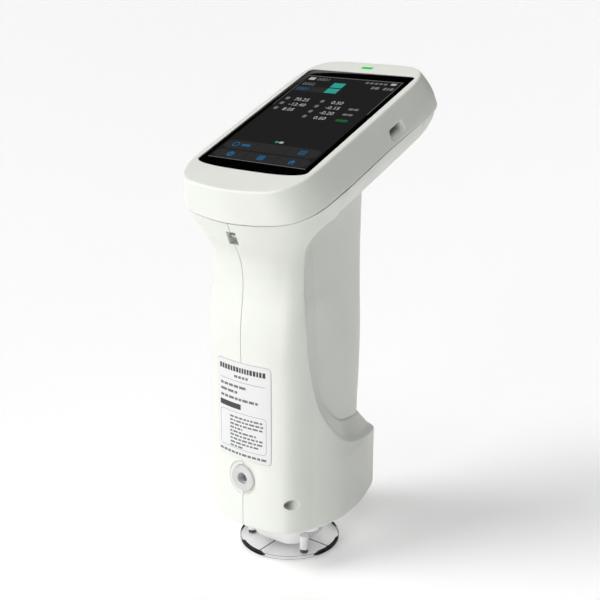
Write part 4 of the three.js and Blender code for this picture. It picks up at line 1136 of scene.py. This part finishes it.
# ------------------------------------------------------------------ socket
usb_shell = carve("usb_socket_sleeve", in_head(prism(round_rect(8.3, 2.95, 1.42, 12), "x", 24.3, 31.9), usb_at),
                  [("-", in_head(loft([place(round_rect(7.5, 2.2, 1.05, 12), "x", 25.1), place(round_rect(7.5, 2.2, 1.05, 12), "x", 31.6), place(round_rect(7.9, 2.6, 1.25, 12), "x", 31.92), place(round_rect(7.9, 2.6, 1.25, 12), "x", 40)]), usb_at))])
piece("usb_socket_sleeve", usb_shell, mat_sleeve, "usb_socket_shell")
tongue = in_head(loft([place(round_rect(5.8, 0.7, 0.3, 4), "x", 25.4), place(round_rect(5.8, 0.7, 0.3, 4), "x", 30.4), place(round_rect(5.4, 0.4, 0.18, 4), "x", 30.6)]), usb_at)
piece("usb_socket_blade", tongue, mat_blade, "usb_socket_tongue")
pads = both(*[in_head(block(26.6, 30.2, -2.62 + 0.46 * k, -2.4 + 0.46 * k, s * 0.36 - 0.012, s * 0.36 + 0.012), usb_at) for k in range(12) for s in (-1, 1)])
piece("usb_socket_contacts", pads, mat_gold, (), clean=False)

# ------------------------------------------------------------------ label
strip = front_strip(LABEL_W / 2, LABEL_Z0, LABEL_Z1, 0.15, -0.03, 70)
label = carve("label_film", strip, [("&", prism(round_rect(LABEL_W, LABEL_Z1 - LABEL_Z0, 2.0, 10, 0, (LABEL_Z0 + LABEL_Z1) / 2), "y", -60, -30))])
piece("label_film", label, mat_label, "rating_label")


def curved(x0, x1, z0, z1, lift=0.0):
    n = max(1, int(abs(x1 - x0) / 0.5))
    xs = np.linspace(x0, x1, n + 1)
    y = front_y(xs) - 0.149
    return prism([*zip(xs, y - 0.018 - lift), *zip(xs[::-1], y[::-1])], "z", z0, z1)


def frame_lines(x0, x1, z0, z1, r, wide):
    """rounded outline bent round the front"""
    lines = []
    out = round_rect(x1 - x0, z1 - z0, r, 8, (x0 + x1) / 2, (z0 + z1) / 2)
    inn = round_rect(x1 - x0 - 2 * wide, z1 - z0 - 2 * wide, r - wide, 8, (x0 + x1) / 2, (z0 + z1) / 2)
    o2, i2 = [], []
    for k in range(len(out)):
        a, c2 = out[k], out[(k + 1) % len(out)]
        e, g = inn[k], inn[(k + 1) % len(inn)]
        m = max(1, int(np.hypot(*(c2 - a)) / 0.6))
        for j in range(m):
            o2.append(a + (c2 - a) * j / m)
            i2.append(e + (g - e) * j / m)
    n = len(o2)
    o2, i2 = np.array(o2), np.array(i2)
    v = []
    for loop_ in (o2, i2):
        for d in (0.149 + 0.018, 0.149):
            v.append(np.stack([loop_[:, 0], front_y(loop_[:, 0]) - d, loop_[:, 1]], 1))
    f = []
    for k in range(n):
        j = (k + 1) % n
        f += [[k, j, j + 2 * n, k + 2 * n], [k + n, k + 3 * n, j + 3 * n, j + n], [k, k + n, j + n, j], [k + 2 * n, j + 2 * n, j + 3 * n, k + 3 * n]]
    return np.vstack(v), f


strong, fine = [], []
rng = np.random.default_rng(7)
# heading: a row of plain upright blocks
x = -12.4
while x < 12.0:
    w = float(rng.choice([0.9, 1.1, 1.25]))
    strong.append(curved(x, min(x + w, 12.5), 87.15, 89.35))
    x += w + 0.42


def dashes(x0, x1, z0, z1, words, target):
    x = x0
    while x < x1 - 0.5:
        w = float(rng.uniform(*words))
        target.append(curved(x, min(x + w, x1), z0, z1))
        x += w + 0.55


dashes(-3.8, 3.4, 84.6, 85.7, (1.0, 1.9), fine)
fine.append(curved(-12.2, 11.5, 83.05, 83.2))
dashes(-12.0, 2.4, 80.2, 81.3, (1.2, 3.4), fine)
dashes(-12.0, -2.2, 77.6, 78.7, (2.2, 4.2), fine)
dashes(-12.0, 8.2, 74.8, 75.9, (1.4, 4.0), fine)
strong.append(curved(-12.5, -0.4, 70.9, 73.3))
fine.append(frame_lines(-12.4, 12.0, 53.2, 69.4, 1.6, 0.13))
for k in range(9):
    z = 67.5 - 1.62 * k
    dashes(-6.5, [10.2, 10.6, 10.4, 0.4, 7.2, 10.3, 10.4, 8.2, 0.3][k], z - 0.78, z, (0.9, 2.8), fine)
dashes(-13.0, 12.0, 50.6, 51.6, (1.0, 2.6), fine)
piece("label_blocks", both(*strong), mat_print, (), clean=False)
piece("label_rules", both(*fine), mat_print_soft, (), clean=False)

# ------------------------------------------------------------------ front fittings
thread = [(2.25 + (0.22 if k % 2 else 0.0), 0.75 + 0.33 * k) for k in range(20)]
ins = turned([(2.45, -0.33), (2.6, -0.45), (5.4, -0.45), (5.62, -0.37), (5.72, -0.15), (5.72, 9.4), (3.0, 9.4), (3.0, 0.15), (2.45, -0.33)], 96)
piece("stand_insert_turned", along_y(ins, insert_at), mat_insert, "stand_insert")
bore = turned([(2.42, -0.25), (2.95, 0.2), (2.95, 9.3), (0, 9.3), (0, 7.6), (2.2, 7.6)] + thread[::-1] + [(2.42, -0.25)], 96)
piece("stand_insert_bore", along_y(bore, insert_at), mat_bore, ())
piece("lanyard_pin", along_x(rod(0.7, -3.5, 3.5, 40, 0.08), (0, -45.8, SLOT_Z + 0.5)), mat_steel, "lanyard_bar")
screw = carve("case_screw_turned", along_x(turned([(0, -7.5), (0.7, -7.4), (1.15, -7), (1.15, 8.7), (2.0, 8.7), (2.1, 8.8), (2.1, 9.9), (1.9, 10.25), (1.4, 10.4), (0, 10.4)], 48), (0, HOLE_Y, HOLE_Z)),
              [("-", along_x(loft([place(icon(0, 0, 1.25, 6), "z", 9.2), place(icon(0, 0, 1.25, 6), "z", 12)]), (0, HOLE_Y, HOLE_Z)))])
piece("case_screw_turned", screw, mat_screw, "case_screw_lower")


def cross(depth0, depth1, w, l):
    return [("-", block(-l, l, -w, w, depth0, depth1)), ("-", block(-w, w, -l, l, depth0, depth1))]


for i, (x, y) in enumerate(HEAD_SCREWS):
    flat = turned([(0, 0.2), (1.05, 0.2), (1.35, 0.32), (1.5, 0.55), (1.5, 1.9), (0.7, 1.9), (0.7, 13.4), (0.4, 14), (0, 14)], 40)
    base = in_head(flat, (x, y, UNDER_O + 0.9))
    cuts = [("-", in_head(block(-0.95, 0.95, -0.2, 0.2, -1, 1.0), (x, y, UNDER_O + 0.9))), ("-", in_head(block(-0.2, 0.2, -0.95, 0.95, -1, 1.0), (x, y, UNDER_O + 0.9)))]
    piece(f"head_screw_turned_{i + 1}", carve(f"hs{i}", base, cuts), mat_screw, f"head_screw_{i + 1}")

# ------------------------------------------------------------------ nose, collar and locating plate
collar_o = round_rect(49, 35, 7, 12, 0, PORT_Y)
collar = loft([place(grow(collar_o, -0.35), "z", 15.4), place(grow(collar_o, -0.1), "z", 15.5), place(collar_o, "z", 15.75), place(collar_o, "z", 17.9)])
cuts = [("-", prism(round_rect(28.1, 28.1, 8.6, 12, 0, PORT_Y), "z", 10, 30))]
for sx in (-1, 1):
    for k in range(5):
        y = PORT_Y - 11.3 + 5 * k
        cuts.append(("-", prism(round_rect(7.4, 2.6, 0.5, 5, sx * 26.3, y + 1.3), "z", 14, 17)))
piece("collar_plate", carve("collar_plate", collar, cuts), mat_nose, "base_plate")

nose_rows = [(3.2, 24.2, 7.2), (3.45, 25.0, 7.5), (4.2, 26.4, 8.0), (5.6, 26.95, 8.1), (8.0, 27.2, 8.2), (12.3, 27.34, 8.2), (12.55, 27.1, 8.1), (12.65, 22.8, 6.8), (16.9, 22.8, 6.8), (17.4, 27.4, 8.2), (21.2, 27.4, 8.2), (21.6, 27.0, 8.0)]
nose = loft([place(round_rect(w, w, r, 12, 0, PORT_Y), "z", z) for z, w, r in nose_rows])
cuts = [("+", moved(turned([(0, PLATE_T + GAP), (1.75, PLATE_T + GAP), (1.95, PLATE_T + GAP + 0.2), (1.95, 8.4), (0, 8.4)], 48), (x, PORT_Y + y, 0))) for x, y in POSTS]
cuts += [("+", block(-1.9, 1.9, PORT_Y + 12.5, PORT_Y + 16.8, 4.4, 8.4)), ("-", moved(rod(9.9, 0, 30, 96), (0, PORT_Y, 0)))]
cuts += [("-", moved(rod(0.95, 0, 7.2, 24), (x, PORT_Y + y, 0))) for x, y in POSTS]
piece("nose_block", carve("nose_block", nose, cuts), mat_nose, "nose_housing")
piece("aperture_turned", moved(turned([(4, 2.75), (4.15, 2.5), (7.2, 2.2), (9.3, 2.2), (9.5, 2.4), (9.5, 9), (8, 9), (8, 5), (4, 3.6), (4, 2.75)], 128), (0, PORT_Y, 0)), mat_black, "aperture_ring")

plate = turned([(6.75, 0), (PLATE_R - 0.35, 0), (PLATE_R - 0.06, 0.1), (PLATE_R, 0.35), (PLATE_R, PLATE_T - 0.35), (PLATE_R - 0.1, PLATE_T - 0.1), (PLATE_R - 0.35, PLATE_T), (6.75, PLATE_T), (6.6, PLATE_T - 0.15), (6.6, 0.15), (6.75, 0)], 160)
cuts = []
for x, y in POSTS:
    cuts += [("-", moved(rod(1.2, -1, 3, 40), (x, 0 + y, 0))), ("-", moved(rod(2.2, -1, 0.75, 48), (x, y, 0)))]
plate_mesh = carve("clear_plate", moved(plate, (0, PORT_Y, 0)), [(op, moved(s, (0, PORT_Y, 0))) for op, s in cuts])
piece("clear_plate", plate_mesh, mat_clear, "locating_plate")


def arc_band(a0, a1, r0, r1, z0, z1, n=40):
    rings = []
    for i in range(n + 1):
        a = math.radians(a0 + (a1 - a0) * i / n)
        rings.append(np.array([(r0 * math.cos(a), r0 * math.sin(a), z0), (r1 * math.cos(a), r1 * math.sin(a), z0), (r1 * math.cos(a), r1 * math.sin(a), z1), (r0 * math.cos(a), r0 * math.sin(a), z1)]))
    return loft(rings)


def painted_rim_reflection(a0, a1, n=44):
    """painted reflection: a black band wrapped over the rim, thinning out to its ends, in place of the dark
    surroundings the rim's bevel reflects
    """
    rings = []
    for i in range(n + 1):
        a = math.radians(a0 + (a1 - a0) * i / n)
        k = min(1.0, 6 * min(i, n - i) / n + 0.15)
        mid, h = PLATE_T / 2, (PLATE_T / 2 - 0.04) * k
        row = [(PLATE_R - 0.3, mid - h), (PLATE_R - 0.02, mid - h * 0.88), (PLATE_R + 0.03, mid - h * 0.6), (PLATE_R + 0.03, mid + h * 0.6),
               (PLATE_R - 0.04, mid + h * 0.9), (PLATE_R - 0.3, mid + h + 0.05), (PLATE_R - 0.95 * k - 0.1, mid + h + 0.05), (PLATE_R - 0.42, mid)]
        rings.append(np.array([(r * math.cos(a), r * math.sin(a), z) for r, z in row]))
    return loft(rings)


# painted shade: thin dark rings at the rim's top and bottom edges, in place of the dark look refraction gives the
# clear rim
marks = [arc_band(a, a + 90, PLATE_R - 0.24, PLATE_R - 0.04, z0, z0 + 0.06) for a in (0, 90, 180, 270) for z0 in (0.1, PLATE_T - 0.14)]
piece("plate_rim_painted_dark_lines", moved(both(*marks), (0, PORT_Y, 0)), mat_rim_painted_dark, (), clean=False)
# painted reflection: the black arcs on the rim stand in for dark surroundings reflected in its bevel; the straight
# lines below are printed crosshairs
marks = [painted_rim_reflection(a0, a1) for a0, a1 in ((-127, -81), (-24, 31), (53, 99), (156, 211))]
for a in (0, 90, 180, 270):
    c2, s2 = math.cos(math.radians(a)), math.sin(math.radians(a))
    v, fc = block(10.2, PLATE_R - 0.4, -0.26, 0.26, PLATE_T + 0.004, PLATE_T + 0.03)
    marks.append((np.stack([v[:, 0] * c2 - v[:, 1] * s2, v[:, 0] * s2 + v[:, 1] * c2, v[:, 2]], 1), fc))
piece("plate_print_and_painted_reflection", moved(both(*marks), (0, PORT_Y, 0)), mat_ink_and_painted_reflection, (), clean=False)
for i, (x, y) in enumerate(POSTS):
    s = moved(turned([(0, 0.1), (1.5, 0.1), (1.72, 0.16), (1.8, 0.28), (1.8, 0.45), (0.65, 0.45), (0.65, 6), (0.3, 6.6), (0, 6.6)], 40), (x, PORT_Y + y, 0))
    cuts = [("-", moved(block(-1.1, 1.1, -0.2, 0.2, -1, 0.3), (x, PORT_Y + y, 0))), ("-", moved(block(-0.2, 0.2, -1.1, 1.1, -1, 0.3), (x, PORT_Y + y, 0)))]
    piece(f"plate_screw_turned_{i + 1}", carve(f"ps{i}", s, cuts), mat_screw, f"plate_screw_{i + 1}")

# ------------------------------------------------------------------ trigger
bh, bw = BTN_Z1 - BTN_Z0 - 0.7, BTN_W - 0.7
pad_rows = [(18.2, 3.0, 3.0, 6.2), (19.7, 3.0, 3.0, 6.2), (19.7, 0, 0, 5.1), (25.2, 0, 0, 5.1), (25.8, -0.25, -0.25, 5.0), (26.4, -0.9, -0.9, 4.7), (26.9, -2.0, -2.0, 4.3), (27.25, -3.4, -3.8, 3.8), (27.5, -5.2, -6.4, 3.2), (27.6, -7.4, -9.4, 2.6), (27.62, -9.4, -13, 1.8)]
rings = [place(round_rect(bw + a, bh + c2, r, 10, 0, BZ), "y", y) for y, a, c2, r in pad_rows]
button = carve("trigger_pad", loft(rings), [("+", along_y(rod(1.5, 12.7, 18.6, 32), (0, 0, BZ)))])
piece("trigger_pad", button, mat_button, "measure_button", body="trigger")

# the trigger's return spring, coiled round its stem
rings = []
for i in range(193):
    a, y = 8 * math.pi * i / 192, 10.4 + 7.1 * i / 192
    along = np.array([-3.1 * math.sin(a), 3.1 * math.cos(a), 7.1 / (8 * math.pi)])
    along /= np.linalg.norm(along)
    out = np.array([math.cos(a), math.sin(a), 0.0])
    across = np.cross(along, out)
    rings.append(np.array([out * (3.1 + 0.3 * math.cos(k * math.pi / 6)) + across * 0.3 * math.sin(k * math.pi / 6) + np.array([0, 0, y]) for k in range(12)]))
coil = piece("return_spring_coil", along_y(loft(rings), (0, 0, BZ)), mat_steel, "button_spring", angle=60)
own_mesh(coil)

# ------------------------------------------------------------------ finish of the pieces kept from the frame
kept = {
    "lcd_module": mat_lcd, "display_board": mat_board, "lamp_board": mat_board, "line_sensor_board": mat_board, "main_board": mat_board, "switch_board": mat_board,
    "sphere_lower": mat_cream, "sphere_upper": mat_cream, "lens_barrel": mat_black, "objective_lens": mat_lens, "spectrometer_body": mat_black,
    "spectrometer_cover": mat_black, "concave_grating": mat_grating, "battery": mat_battery, "buzzer": mat_black,
}
for n, m in kept.items():
    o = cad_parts[n]
    o.data.materials.clear()
    o.data.materials.append(m)

# ------------------------------------------------------------------ stage, light and camera
bpy.ops.mesh.primitive_plane_add(size=1)
floor = bpy.context.object
floor.name = "floor"
floor.scale = (60, 60, 1)
floor.location = (0, 0, -0.0004)
mat_floor, t, b = principled("floor_paint", (0.86, 0.86, 0.86), 0.6)
t.links.new(mix_color(t, noise(t, 3, 3), (0.855, 0.855, 0.855), (0.865, 0.865, 0.865)), b.inputs["Base Color"])
b.inputs["Specular IOR Level"].default_value = 0.2
b.inputs["Emission Color"].default_value = (1, 1, 1, 1)
b.inputs["Emission Strength"].default_value = 0.224
floor.data.materials.append(mat_floor)

world = bpy.data.worlds.new("studio")
bpy.context.scene.world = world
world.use_nodes = True
wt = world.node_tree
bg = wt.nodes["Background"]
co = wt.nodes.new("ShaderNodeTexCoord")
sp = wt.nodes.new("ShaderNodeSeparateXYZ")
wt.links.new(co.outputs["Generated"], sp.inputs[0])
def world_math(op, a, b):
    n = wt.nodes.new("ShaderNodeMath")
    n.operation = op
    for k, v in enumerate((a, b)):
        if isinstance(v, (int, float)):
            n.inputs[k].default_value = v
        else:
            wt.links.new(v, n.inputs[k])
    return n.outputs[0]


def compass(az, el):
    """unit vector towards azimuth az (0 = the front, 90 = the right side) and elevation el"""
    a, e = math.radians(az), math.radians(el)
    return Vector((math.sin(a) * math.cos(e), -math.cos(a) * math.cos(e), math.sin(e)))


# a pale wall low down all round, and a wide soft screen in front
band = wt.nodes.new("ShaderNodeMapRange")
for k, v in (("From Min", 0.12), ("From Max", 0.30), ("To Min", 0.10), ("To Max", 0.0)):
    band.inputs[k].default_value = v
wt.links.new(sp.outputs[2], band.inputs["Value"])
dot = wt.nodes.new("ShaderNodeVectorMath")
dot.operation = "DOT_PRODUCT"
wt.links.new(co.outputs["Generated"], dot.inputs[0])
dot.inputs[1].default_value = compass(0, 15)
soft = world_math("MULTIPLY", world_math("POWER", world_math("MAXIMUM", dot.outputs["Value"], 0.0), 3.0), 0.12)
wt.links.new(world_math("ADD", band.outputs["Result"], soft), bg.inputs["Color"])
bg.inputs["Strength"].default_value = 1.0


def sun(name, az, el, power, angle=30.0):
    d = bpy.data.lights.new(name, "SUN")
    d.energy, d.angle = power, math.radians(angle)
    o = bpy.data.objects.new(name, d)
    bpy.context.scene.collection.objects.link(o)
    o.rotation_euler = (-compass(az, el)).to_track_quat("-Z", "Y").to_euler()
    return o


sun("key", -40, 44, 1.53)
sun("high_left", -40, 64, 0.53)
sun("low_left", -40, 28, 0.20)
sun("high_right", 45, 62, 0.47)
sun("front_low", 0, 12, 0.80)
sun("side_low", -115, 12, 0.52).visible_glossy = False
sun("rear_left", -160, 30, 0.74).visible_glossy = False
sun("rear_right", 150, 20, 0.13).visible_glossy = False

AZ, EL, ROLL = math.radians(37.32), math.radians(17.03), math.radians(0.204)
back = Vector((math.sin(AZ) * math.cos(EL), -math.cos(AZ) * math.cos(EL), math.sin(EL)))
right_v = Vector((math.cos(AZ), math.sin(AZ), 0))
up_v = back.cross(right_v)
cr, sr = math.cos(ROLL), math.sin(ROLL)
r2 = right_v * cr + up_v * sr
u2 = up_v * cr - right_v * sr
cam_data = bpy.data.cameras.new("camera")
cam = bpy.data.objects.new("camera", cam_data)
bpy.context.scene.collection.objects.link(cam)
where = Vector((0.2783, (-369.5 + SHIFT) / 1000, 0.2494))
m = Matrix((r2, u2, back)).transposed().to_4x4()
m.translation = where
cam.matrix_world = m
cam_data.sensor_width = 36
cam_data.lens = 1125.44 / 600 * 36
cam_data.clip_start = 0.01
cam_data.clip_end = 50
bpy.context.scene.camera = cam
bpy.context.scene.view_settings.view_transform = "Standard"
bpy.context.scene.view_settings.look = "None"
